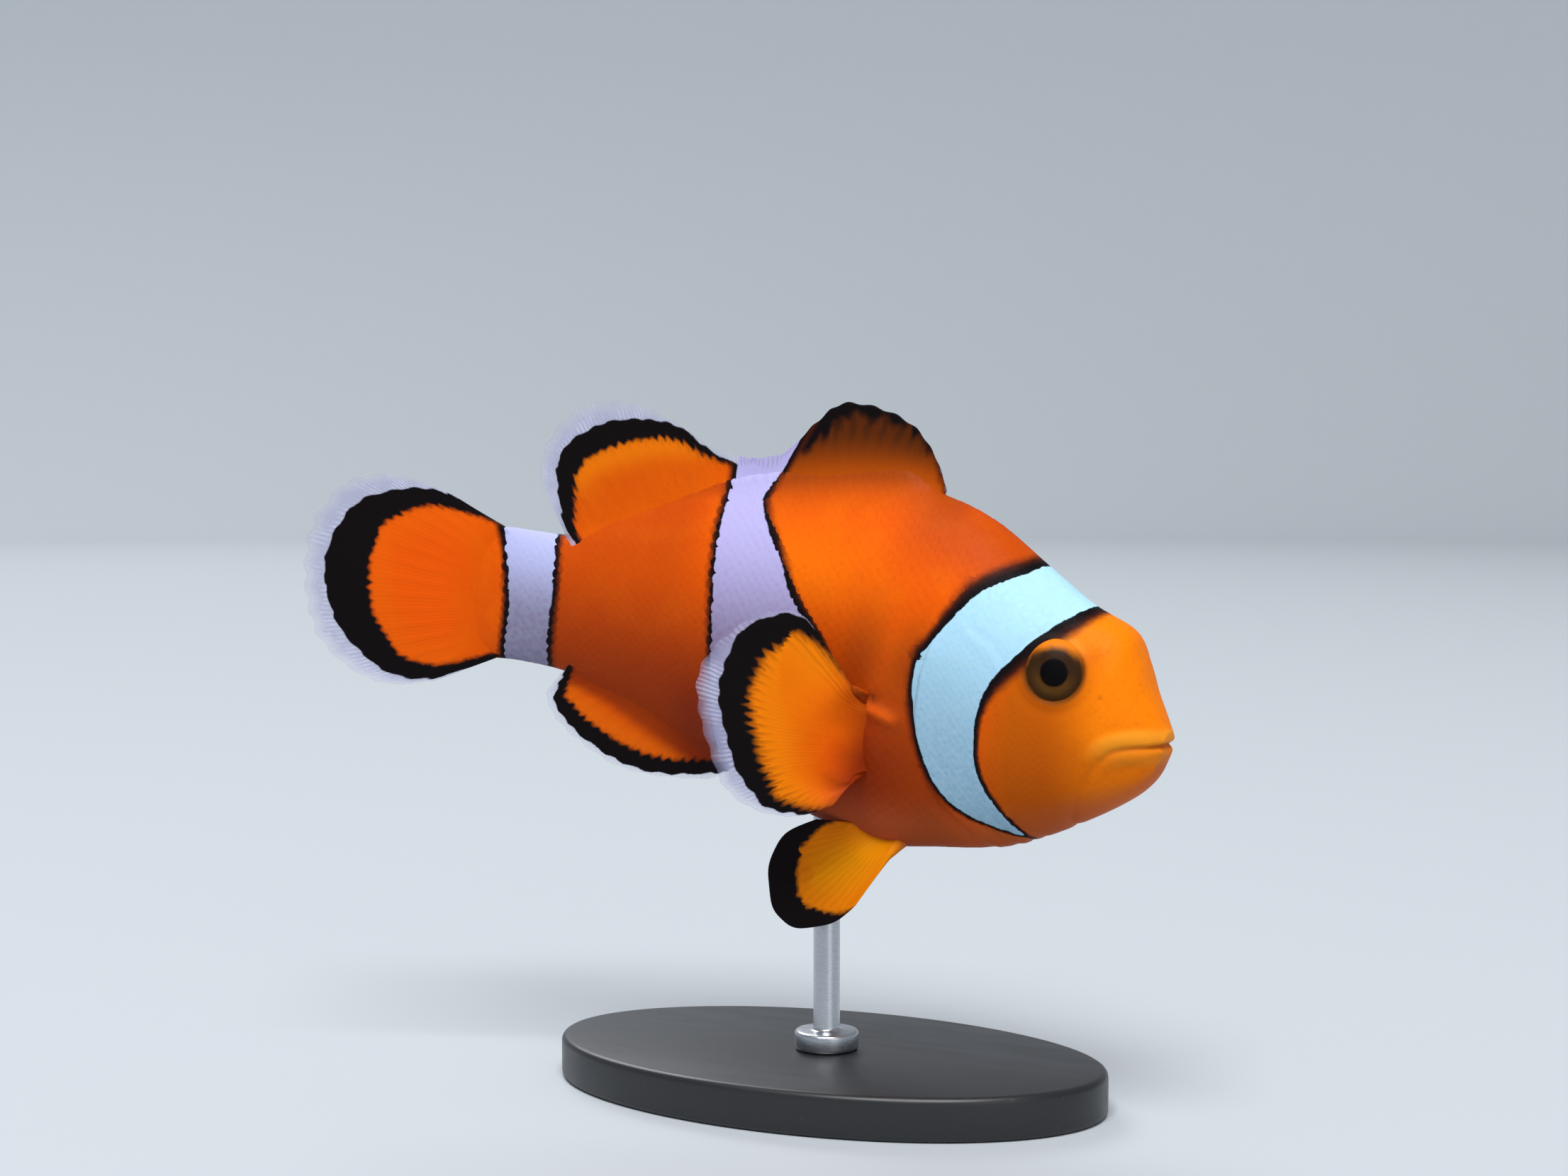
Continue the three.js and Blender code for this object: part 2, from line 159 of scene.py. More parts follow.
@dataclass(frozen=True)
class Line:
    """A smooth line in the side view, which may carry widths as further coordinates."""

    points: Path
    overrun: float = 6.0
    steps: int = 64

    def measure(self, s: Array, u: Array) -> Arrays:
        """Distances from the line, which goes straight on past both of its ends.

        Args:
            s: places along the body.
            u: heights, of the same shape.

        Returns:
            The distance, positive to the left of a walk from the first point to the last as the
            fish's right side shows it, and the line's further coordinates at the nearest place.
        """
        run = spline(self.points, np.linspace(0, 1, self.steps))
        ends = [run[0].copy(), run[-1].copy()]
        for end, inner in ((ends[0], run[1]), (ends[1], run[-2])):
            away = end[:2] - inner[:2]
            end[:2] += away / np.linalg.norm(away) * self.overrun
        run = np.vstack([ends[0], run, ends[1]])
        nearest = np.full(s.shape, np.inf)
        sign = np.ones(s.shape)
        carried = np.zeros((*s.shape, run.shape[1] - 2))
        for a, b in zip(run[:-1], run[1:]):
            ds, du = b[:2] - a[:2]
            share = np.clip(((s - a[0]) * ds + (u - a[1]) * du) / (ds * ds + du * du), 0, 1)
            off_s, off_u = s - a[0] - share * ds, u - a[1] - share * du
            distance = np.hypot(off_s, off_u)
            closer = distance < nearest
            nearest = np.where(closer, distance, nearest)
            sign = np.where(closer, np.sign(ds * off_u - du * off_s), sign)
            here = a[2:] + share[..., None] * (b[2:] - a[2:])
            carried = np.where(closer[..., None], here, carried)
        return nearest * sign, carried


# ---- pose and form


@dataclass(frozen=True)
class SwimPose:
    """How the straight fish is bent to its right at head and tail, pitched and raised."""

    nose_down: float = math.radians(9.8)
    axis_height: float = 39.5
    reference_s: float = 30.0
    tail_start: float = 34.0
    tail_radius: float = 135.0
    head_start: float = 20.0
    head_radius: float = 300.0
    rod_top: Pair = (31.5, -11.6)

    def pitched(self, x: Array, z: Array) -> Arrays:
        """The point turned nose-down about the axis."""
        c, n = math.cos(self.nose_down), math.sin(self.nose_down)
        return x * c + z * n, z * c - x * n

    def to_frame(self, body: Array) -> Array:
        """Where points of the straight fish lie in the frame.

        Args:
            body: rows of (s, u, v) in millimetres.

        Returns:
            Rows of (x, y, z) in metres.
        """
        x, y, z = self.reference_s - body[..., 0], -body[..., 2], body[..., 1]
        tail_x, head_x = self.reference_s - self.tail_start, self.reference_s - self.head_start
        back = np.maximum(0, tail_x - x) / self.tail_radius
        ahead = np.maximum(0, x - head_x) / self.head_radius
        tail_arm, head_arm = self.tail_radius + y, self.head_radius + y
        bent_x = np.clip(x, tail_x, head_x) - tail_arm * np.sin(back) + head_arm * np.sin(ahead)
        bent_y = y + tail_arm * (np.cos(back) - 1) + head_arm * (np.cos(ahead) - 1)
        rod_s, rod_u = self.rod_top
        shift = self.pitched(self.reference_s - rod_s, rod_u)[0]
        px, pz = self.pitched(bent_x, z)
        return np.stack([px - shift, bent_y, pz + self.axis_height], -1) * MM


@dataclass(frozen=True)
class Section:
    """One slice of the body, from a point of the back to a point of the belly."""

    back: Pair
    belly: Pair
    width: float
    crown: float
    keel: float

    def numbers(self) -> tuple[float, ...]:
        """The slice as one row."""
        return (*self.back, *self.belly, self.width, self.crown, self.keel)


SECTIONS = (
    Section((0.1, 1.0), (0.05, -1.5), 1.5, 0.95, 0.95),
    Section((1.1, 2.6), (0.45, -3.2), 2.6, 0.93, 0.95),
    Section((2.3, 4.5), (1.6, -4.9), 3.5, 0.9, 0.95),
    Section((3.5, 6.9), (3.6, -6.7), 4.3, 0.88, 0.95),
    Section((5.1, 9.1), (6.2, -8.6), 5.1, 0.88, 0.95),
    Section((9.3, 10.6), (9.6, -10.8), 5.9, 0.92, 0.93),
    Section((13.9, 13.1), (13.6, -12.7), 6.6, 1.0, 0.92),
    Section((19.5, 16.2), (18.9, -14.0), 7.1, 1.2, 0.9),
    Section((25.0, 17.6), (25.0, -14.9), 7.2, 1.4, 0.9),
    Section((31.0, 17.1), (31.0, -14.4), 6.9, 1.45, 0.93),
    Section((38.0, 15.7), (38.0, -12.8), 6.1, 1.45, 1.05),
    Section((45.0, 13.7), (45.0, -10.0), 5.0, 1.4, 1.25),
    Section((53.0, 10.6), (52.0, -7.4), 3.7, 1.3, 1.25),
    Section((60.0, 7.5), (59.0, -6.0), 2.5, 1.0, 1.0),
    Section((64.5, 7.0), (64.5, -5.8), 1.8, 0.95, 0.95),
    Section((67.6, 6.9), (67.4, -6.0), 1.1, 0.9, 0.9),
    Section((70.2, 6.0), (70.0, -5.2), 0.45, 0.8, 0.8),
)

BACK = Line(tuple(section.back for section in SECTIONS[6:]))
BACK_RUN = tuple(zip(*(section.back for section in SECTIONS)))
BELLY_RUN = tuple(zip(*(section.belly for section in SECTIONS)))
NOSTRIL = (5.3, 3.1)
GILL_OPENING = Line((
    (16.6, 18), (18.6, 11), (20.6, 6.5), (21.5, 2), (21.2, -3), (19.2, -8), (15.2, -11.6),
    (10.5, -15),
))
BARE_FACE = Line((
    (6.6, 12.0), (8.4, 8.6), (13.4, 6.4), (13.4, 2.2), (9.8, -0.6), (7.6, -4.5), (7.6, -13.0),
))
# A dark spur behind the head band, and a painted shadow in the hollow above the pectoral fin.
SPUR_AND_SHADOW_SPOTS = ((Patch(21.9, 4.6, 0.4, 0.6), 0.8), (Patch(25.6, -0.8, 0.6, 0.45), 0.7))
PECTORAL_LOBE = Line(((23.5, -2.3), (25.0, -1.95), (26.6, -1.6)), overrun=0.1)
CHEEK_EDGE = Line(
    ((18.0, 7.0), (14.6, 4.9), (13.2, 1.0), (13.0, -3.0), (12.3, -7.5), (10.6, -12.0)), overrun=0.1
)
JAW_SEAM = Line(((4.6, -2.3), (5.6, -4.8), (6.6, -7.4), (7.0, -9.2)), overrun=0.1)


@dataclass(frozen=True)
class Eye:
    """Where an eye sits, which way it looks and how big it is."""

    s: float = 9.9
    u: float = 4.5
    v: float = 4.55
    radius: float = 2.72
    depth: float = 1.72
    turn: float = math.radians(14)
    lift: float = math.radians(6)

    def axes(self) -> Arrays:
        """Forward, up and outward unit vectors of the right eye, in body coordinates."""
        outward = np.array([
            -math.cos(self.lift) * math.sin(self.turn),
            math.sin(self.lift),
            math.cos(self.lift) * math.cos(self.turn),
        ])
        up = np.array([0.0, 1.0, 0.0]) - outward * outward[1]
        up /= np.linalg.norm(up)
        return np.cross(outward, up), up, outward

    def local(self, body: Array) -> Arrays:
        """Distance from the eye's axis, and the angle about it from forward towards up."""
        forward, up, outward = self.axes()
        offset = body * [1, 1, 0] + np.abs(body) * [0, 0, 1] - [self.s, self.u, self.v]
        flat = offset - (offset @ outward)[..., None] * outward
        return np.linalg.norm(flat, axis=-1), np.arctan2(flat @ up, flat @ forward)


# ---- markings


@dataclass(frozen=True)
class Band:
    """A white band between two edges, each a line from top to bottom.

    A point of an edge is (s, u, width of its black line, depth of the soft dark fringe outside it).
    pearl is 0 for a cold blue white and 1 for a lavender white.
    """

    front: Line
    rear: Line
    pearl: float


HEAD_BAND = Band(
    Line((
        (7.6, 12.0, 0.7, 0.9), (8.8, 10.4, 0.8, 1.0), (12.2, 6.9, 1.05, 1.3),
        (15.1, 2.4, 0.58, 0.9), (15.7, -1.8, 0.32, 0.4), (14.7, -6.2, 0.32, 0.35),
        (11.1, -10.4, 0.22, 0.2),
    )),
    Line((
        (13.2, 13.9, 0.9, 1.0), (14.3, 12.6, 0.9, 1.0), (18.1, 9.8, 0.85, 1.0),
        (21.0, 5.2, 0.35, 0.8), (22.1, 3.0, 0.22, 0.7), (21.7, -1.0, 0.22, 0.8),
        (19.6, -6.2, 0.26, 0.7), (16.4, -9.3, 0.2, 0.4), (11.4, -10.7, 0.15, 0.2),
    )),
    pearl=0.0,
)
MIDDLE_BAND = Band(
    Line((
        (40.7, 17.4, 0.26, 0.7), (41.7, 14.5, 0.3, 0.9), (41.2, 13.1, 0.3, 0.9),
        (39.1, 10.9, 0.3, 0.8), (35.3, 6.4, 0.34, 0.7), (31.3, 2.6, 0.3, 0.6),
        (30.3, 0.0, 0.3, 0.5), (31.2, -4.0, 0.3, 0.5), (34.4, -8.6, 0.3, 0.5),
        (38.0, -13.4, 0.3, 0.5),
    )),
    Line((
        (45.5, 17.2, 0.3, 0.9), (45.4, 15.2, 0.3, 0.9), (45.0, 10.8, 0.26, 0.9),
        (43.4, 2.3, 0.22, 0.8), (42.7, -4.3, 0.15, 0.5), (41.9, -11.7, 0.1, 0.3),
    )),
    pearl=1.0,
)
TAIL_BAND = Band(
    Line((
        (62.1, 6.8, 0.28, 0.8), (61.5, 4.1, 0.3, 0.8), (61.1, 0.7, 0.34, 0.8),
        (61.1, -5.3, 0.32, 0.8),
    )),
    Line((
        (67.7, 6.9, 0.4, 0.7), (66.3, 3.2, 0.38, 0.7), (65.6, -0.8, 0.34, 0.7),
        (65.6, -5.9, 0.38, 0.7),
    )),
    pearl=0.85,
)


@dataclass(frozen=True)
class Markings:
    """The bands and the shading of the flanks, as soft fields that skin, scales and fins share.

    A Ramp is where a tone sets in and where it is full. Those named start and end run along s,
    those named top and foot run along u, those named height run from the belly, 0, to the back, 1,
    and those named side run with the cosine of the angle from a direction about the eye. The
    shares say how strong each tone is.
    """

    bands: tuple[Band, ...] = (HEAD_BAND, MIDDLE_BAND, TAIL_BAND)
    eye: Eye = Eye()
    # A painted highlight on the upper flank, ahead of the middle band.
    glow: Patch = Patch(35.0, 9.0, 6.5, 4.0)
    # The pectoral fin's painted shadow on the flank by the fin's top.
    fin_shadow_patch: Patch = Patch(27.4, 2.4, 2.6, 4.4)
    # Painted shade: lower on the trunk, chin and rear, less on the tail, and low on the white
    # bands.
    trunk_start: Ramp = (14.0, 20.0)
    flank_top: Ramp = (11.0, -7.0)
    shoulder_end: Ramp = (28.0, 20.0)
    shadow_height: Ramp = (0.92, 0.3)
    chin_start: Ramp = (3.5, 9.0)
    chin_top: Ramp = (1.5, -9.5)
    rear_start: Ramp = (44.0, 50.0)
    rear_top: Ramp = (6.0, -4.0)
    tail_start: Ramp = (62.5, 67.5)
    # The gill cover's painted shadow behind its opening: its top, middle and width.
    gill_shadow_top: Ramp = (9.5, 2.0)
    gill_shadow_middle: float = 1.6
    gill_shadow_width: float = 2.4
    # The nape's own darker tone, which joins the painted shade.
    nape_start: Ramp = (11.0, 14.0)
    nape_end: Ramp = (29.0, 24.0)
    nape_height: Ramp = (0.74, 0.96)
    face_end: Ramp = (17.5, 12.0)
    face_top: Ramp = (12.5, 6.0)
    snout_end: Ramp = (10.0, 3.5)
    jaw_foot: Ramp = (-9.5, -5.0)
    muzzle_foot: Ramp = (-2.6, 0.6)
    forehead_end: Ramp = (16.0, 11.0)
    forehead_foot: Ramp = (5.0, 8.0)
    belly_end: Ramp = (34.0, 26.0)
    belly_height: Ramp = (0.2, 0.03)
    mantle_start: Ramp = (21.0, 23.0)
    mantle_end: Ramp = (44.5, 42.0)
    mantle_rise: Ramp = (-3.5, 3.6)
    # How strong the painted shade and the painted shadows are, and the nape's darker tone.
    shoulder_share: float = 0.2
    chin_share: float = 0.25
    rear_shares: Pair = (0.42, 0.38)
    gill_shadow_share: float = 0.6
    nape_share: float = 0.45
    fin_shadow_share: float = 0.4
    tail_share: float = 0.85
    shadow_tone_share: float = 0.7
    jaw_share: float = 0.6
    muzzle_share: float = 0.55
    lip_shares: Pair = (0.9, 0.38)
    # The nostril's hollow is painted dark, as shade.
    nostril_shade_share: float = 0.25
    mouth_corner: Ramp = (0.1, 0.8)
    under_lip: Ridge = Ridge(-0.8, 0.7, 0.5)
    # Width of the painted shade along the mouth's cleft.
    cleft_shade_width: float = 0.26
    nostril_shade_width: float = 0.22
    lobe_width: float = 0.5
    rim_edge: Ramp = (3.1, 2.6)
    rim_inside: Ramp = (2.3, 2.5)
    rim_top: float = 1.75
    rim_side: Ramp = (0.15, 0.85)
    # A painted highlight along the top of the eye's rim.
    brow: Ridge = Ridge(3.0, 0.5, 1.0)
    brow_top: float = 1.85
    brow_side: Ramp = (0.2, 0.8)

    def band_fields(self, body: Array) -> Fields:
        """How far each point is inside the nearest band, and that band's edging.

        Args:
            body: rows of (s, u, v).

        Returns:
            band, the depth inside the band, negative outside it; line and fringe, the widths of
            its edging there; and pearl, the tint of its white.
        """
        s, u = body[..., 0], body[..., 1]
        best = {"band": np.full(s.shape, -99.0)}
        for name in ("line", "fringe", "pearl"):
            best[name] = np.ones(s.shape)
        for band in self.bands:
            ahead, front_widths = band.front.measure(s, u)
            behind, rear_widths = band.rear.measure(s, u)
            behind = -behind
            inside = np.minimum(ahead, behind)
            widths = np.where((ahead < behind)[..., None], front_widths, rear_widths)
            closer = inside > best["band"]
            found = {
                "band": inside,
                "line": widths[..., 0],
                "fringe": widths[..., 1],
                "pearl": np.full(s.shape, band.pearl),
            }
            best = {name: np.where(closer, found[name], best[name]) for name in best}
        return best

    def flank_fields(self, body: Array) -> Fields:
        """Shares of broad soft tones: painted shade and highlight, darker nape, face, mantle and
        belly.
        """
        s, u = body[..., 0], body[..., 1]
        trunk = smooth(s, *self.trunk_start)
        foot, top = np.interp(s, *BELLY_RUN), np.interp(s, *BACK_RUN)
        height = (u - foot) / (top - foot)
        # The pectoral fin's painted shadow on the flank.
        beside = self.fin_shadow_patch.share(s, u)
        # The gill cover's painted shadow, a soft strip behind its opening, lower down.
        gill = hump(GILL_OPENING.measure(s, u)[0] - self.gill_shadow_middle, self.gill_shadow_width)
        gill = gill * smooth(u, *self.gill_shadow_top)
        nape = smooth(height, *self.nape_height)
        nape = nape * smooth(s, *self.nape_start) * smooth(s, *self.nape_end)
        # Painted shade: on the chin, lower on the trunk, and over the rear, more so lower down.
        chin = smooth(u, *self.chin_top) * self.chin_share
        deep = chin * (1 - trunk) * smooth(s, *self.chin_start)
        shoulder = 1 - self.shoulder_share * smooth(s, *self.shoulder_end)
        deep = deep + smooth(u, *self.flank_top) * trunk * shoulder
        rear = smooth(s, *self.rear_start)
        least, more = self.rear_shares
        deep = deep * (1 - rear) + rear * (least + more * smooth(u, *self.rear_top))
        # The two painted shadows and the nape's darker tone join it; the tail root keeps little of
        # it.
        deep = np.maximum(deep, self.gill_shadow_share * gill * trunk)
        deep = np.maximum(deep, self.nape_share * nape)
        deep = np.maximum(deep, deep * (1 - self.fin_shadow_share) + self.fin_shadow_share * beside)
        deep = deep * (1 - self.tail_share * smooth(s, *self.tail_start))
        # The face's own tone, also laid in the painted shadows of the gill cover and the pectoral
        # fin.
        face = smooth(s, *self.face_end) * smooth(u, *self.face_top)
        face = np.maximum(face, self.shadow_tone_share * np.maximum(gill, beside) * trunk)
        mantle = smooth(BACK.measure(s, u)[0], *self.mantle_rise)
        mantle = mantle * smooth(s, *self.mantle_end) * smooth(s, *self.mantle_start)
        return {
            "shade": smooth(height, *self.shadow_height), "deep": deep, "face": face,
            "glow": self.glow.share(s, u), "mantle": mantle,
            "belly": smooth(height, *self.belly_height) * smooth(s, *self.belly_end),
        }

    def face_fields(self, body: Array) -> Fields:
        """Shares of the snout's and lips' tones, dark marks, and small painted shadows and
        highlights.
        """
        s, u = body[..., 0], body[..., 1]
        around, angle = self.eye.local(body)
        jaw, muzzle = smooth(u, *self.jaw_foot), smooth(u, *self.muzzle_foot)
        snout = smooth(s, *self.snout_end) * (self.jaw_share * jaw + self.muzzle_share * muzzle)
        snout = np.maximum(snout, smooth(u, *self.forehead_foot) * smooth(s, *self.forehead_end))
        mouth, share = MOUTH.local(body)
        along = smooth(share, *self.mouth_corner)
        lips = smooth(np.abs(mouth), MOUTH.lip_edge + 0.15, MOUTH.lip_edge - 0.7) * along
        lips = lips * np.where(mouth > 0, *self.lip_shares)
        snout = snout * (1 - self.under_lip.rise(mouth) * along)
        # The nostril's hollow is painted dark as shade, in the tone of the darker skin round the
        # eye.
        nostril = hump(np.hypot(s - NOSTRIL[0], u - NOSTRIL[1]), self.nostril_shade_width)
        rim = np.maximum(smooth(around, *self.rim_edge), self.nostril_shade_share * nostril)
        above = smooth(np.cos(angle - self.rim_top), *self.rim_side)
        rim = rim * (1 - 0.95 * above * smooth(around, *self.rim_inside))
        # A painted highlight along the top of the eye's rim.
        over = smooth(np.cos(angle - self.brow_top), *self.brow_side)
        lobe = hump(PECTORAL_LOBE.measure(s, u)[0], self.lobe_width) * (body[..., 2] != 0)
        # A dark spur behind the head band, and a painted shadow in the hollow above the pectoral
        # fin.
        pit = sum(patch.share(s, u) * strong for patch, strong in SPUR_AND_SHADOW_SPOTS)
        return {
            # Painted shade along the mouth's cleft, fading towards its corner.
            "snout": snout, "lips": lips, "crease": hump(mouth, self.cleft_shade_width) * share,
            "rim": rim, "brow": self.brow.rise(around) * over, "pit": np.clip(pit, 0, 1),
            "lobe": lobe,
        }

    def fields(self, body: Array) -> Fields:
        """All the fields at rows of (s, u, v)."""
        return self.band_fields(body) | self.flank_fields(body) | self.face_fields(body)


# ---- relief of the skin


@dataclass(frozen=True)
class Mouth:
    """The closed mouth: a cleft that runs level and turns down at its corner, between soft lips.

    A point of the cleft is (s, u, share of its full depth). gape is how much deeper it is at the
    front, and fold lies round the lips at lip_edge from the cleft.
    """

    cleft: Line = Line(
        (
            (-0.8, -0.1, 1.0), (0.9, -0.42, 1.0), (2.5, -0.8, 0.85), (3.7, -1.35, 0.65),
            (4.5, -2.3, 0.35), (4.8, -3.3, 0.0),
        ),
        overrun=0.1,
    )
    lips: tuple[Ridge, ...] = (Ridge(0.9, 0.75, 0.2), Ridge(-0.78, 0.6, 0.2))
    lips_start: Ramp = (0.2, 2.2)
    cleft_width: float = 0.2
    cleft_depth: float = 0.22
    gape: float = 0.9
    gape_end: Ramp = (1.2, 0.1)
    lip_edge: float = 1.75
    fold: Ridge = Ridge(1.75, 0.4, 0.07)
    fold_start: Ramp = (0.5, 2.0)

    def local(self, body: Array) -> Arrays:
        """Height above the cleft, negative below it, and the cleft's share of depth there."""
        above, share = self.cleft.measure(body[..., 0], body[..., 1])
        return above, share[..., 0]

    def relief(self, body: Array) -> Array:
        """How far the skin stands out round the mouth."""
        above, share = self.local(body)
        s = body[..., 0]
        lips = sum(lip.rise(above) for lip in self.lips) * share
        lips = lips * (0.3 + 0.7 * smooth(s, *self.lips_start))
        gape = 1 + self.gape * smooth(s, *self.gape_end)
        cleft = self.cleft_depth * gape * hump(above, self.cleft_width * np.sqrt(gape)) * share
        fold = self.fold.rise(np.abs(above)) * share * smooth(s, *self.fold_start)
        return lips - cleft - fold


MOUTH = Mouth()


@dataclass(frozen=True)
class Relief:
    """All that stands out from the plain body, or is sunk in it.

    cover and slot are the height of the gill cover's free edge and the depth of the slot behind it,
    each with the length over which it fades.
    """

    eye: Eye = Eye()
    cover: Pair = (0.26, 1.8)
    slot: Pair = (0.16, 0.7)
    open_top: Ramp = (6.6, 3.6)
    throat_top: Ramp = (-12.0, -8.0)
    throat_folds: tuple[Ridge, ...] = tuple(Ridge(-d, 0.24, -0.09) for d in (1.5, 2.7, 3.9))
    fold_top: Ramp = (-8.6, -10.6)
    cheek: tuple[Ridge, ...] = (Ridge(0.45, 0.45, 0.08), Ridge(0.0, 0.36, -0.07))
    jaw: Ridge = Ridge(0.0, 0.28, -0.13)
    eye_rim: tuple[Ridge, ...] = (Ridge(2.8, 0.4, 0.14), Ridge(3.6, 0.4, -0.06))
    nostril: tuple[Ridge, ...] = (Ridge(0.36, 0.16, 0.05), Ridge(0.0, 0.18, -0.24))
    socket_depth: float = 1.7
    socket_edge: Ramp = (2.5, 2.12)
    pectoral_root: Patch = Patch(24.4, -4.7, 2.2, 3.7)
    pelvic_root: Patch = Patch(24.0, -13.4, 2.6, 1.6)
    pectoral_height: float = 0.55
    pelvic_height: float = 0.4
    lobe_end: Pair = (23.9, -2.2)
    dorsal_ridge: float = 2.6
    dorsal_run: tuple[Ramp, Ramp] = ((24.2, 29.0), (61.5, 57.0))
    anal_ridge: float = 1.8
    anal_run: tuple[Ramp, Ramp] = ((41.5, 45.0), (59.5, 56.0))
    ridge_width: float = 1.25

    def gills(self, s: Array, u: Array) -> Array:
        """The gill cover's free edge, the cheek's edge and the folds of the throat."""
        behind = GILL_OPENING.measure(s, u)[0]
        open_share = smooth(u, *self.open_top) * (0.35 + 0.65 * smooth(u, *self.throat_top))
        high, ahead = self.cover
        low, after = self.slot
        cover = high * np.exp(np.minimum(0, behind) / ahead) * (behind < 0)
        trunk = -low * np.exp(-np.maximum(0, behind) / after) * (behind >= 0)
        cheek = CHEEK_EDGE.measure(s, u)[0]
        edge = sum(ridge.rise(cheek) for ridge in self.cheek)
        folds = sum(fold.rise(behind) for fold in self.throat_folds)
        seam = self.jaw.rise(JAW_SEAM.measure(s, u)[0])
        return (cover + trunk) * open_share + edge + folds * smooth(u, *self.fold_top) + seam

    def roots(self, body: Array) -> Array:
        """The flesh that the fins grow from, and the lobe over the pectoral fin."""
        s, u = body[..., 0], body[..., 1]
        from_end = np.hypot(s - self.lobe_end[0], u - self.lobe_end[1])
        lobe = np.minimum(from_end, np.abs(PECTORAL_LOBE.measure(s, u)[0]))
        pectoral = self.pectoral_height * self.pectoral_root.share(s, u)
        pectoral = pectoral + self.pectoral_height * hump(lobe, 0.55)
        return pectoral + self.pelvic_height * self.pelvic_root.share(s, u)

    def ridges(self, body: Array) -> Array:
        """How far each point is drawn up or down into the roots of the dorsal and anal fins."""
        s, u, v = body[..., 0], body[..., 1], np.abs(body[..., 2])
        cusp = 0.5 * np.exp(-v / self.ridge_width) + 0.5 * np.exp(-v / (0.28 * self.ridge_width))
        back, belly = cusp * smooth(u, 3.0, 5.0), cusp * smooth(u, -2.0, -4.0)
        dorsal, anal = self.dorsal_ridge * back, self.anal_ridge * belly
        for ramp in self.dorsal_run:
            dorsal = dorsal * smooth(s, *ramp)
        for ramp in self.anal_run:
            anal = anal * smooth(s, *ramp)
        return dorsal - anal

    def outward(self, body: Array) -> Array:
        """How far each point moves along the skin's normal."""
        s, u = body[..., 0], body[..., 1]
        around, _ = self.eye.local(body)
        rim = sum(ridge.rise(around) for ridge in self.eye_rim)
        from_nostril = np.hypot(s - NOSTRIL[0], u - NOSTRIL[1])
        nostril = sum(ridge.rise(from_nostril) for ridge in self.nostril)
        return MOUTH.relief(body) + self.gills(s, u) + self.roots(body) + rim + nostril - COAT_DEPTH

    def socket(self, body: Array) -> Array:
        """How far each point sinks straight into the eye's socket."""
        around, _ = self.eye.local(body)
        return self.socket_depth * smooth(around, *self.socket_edge)


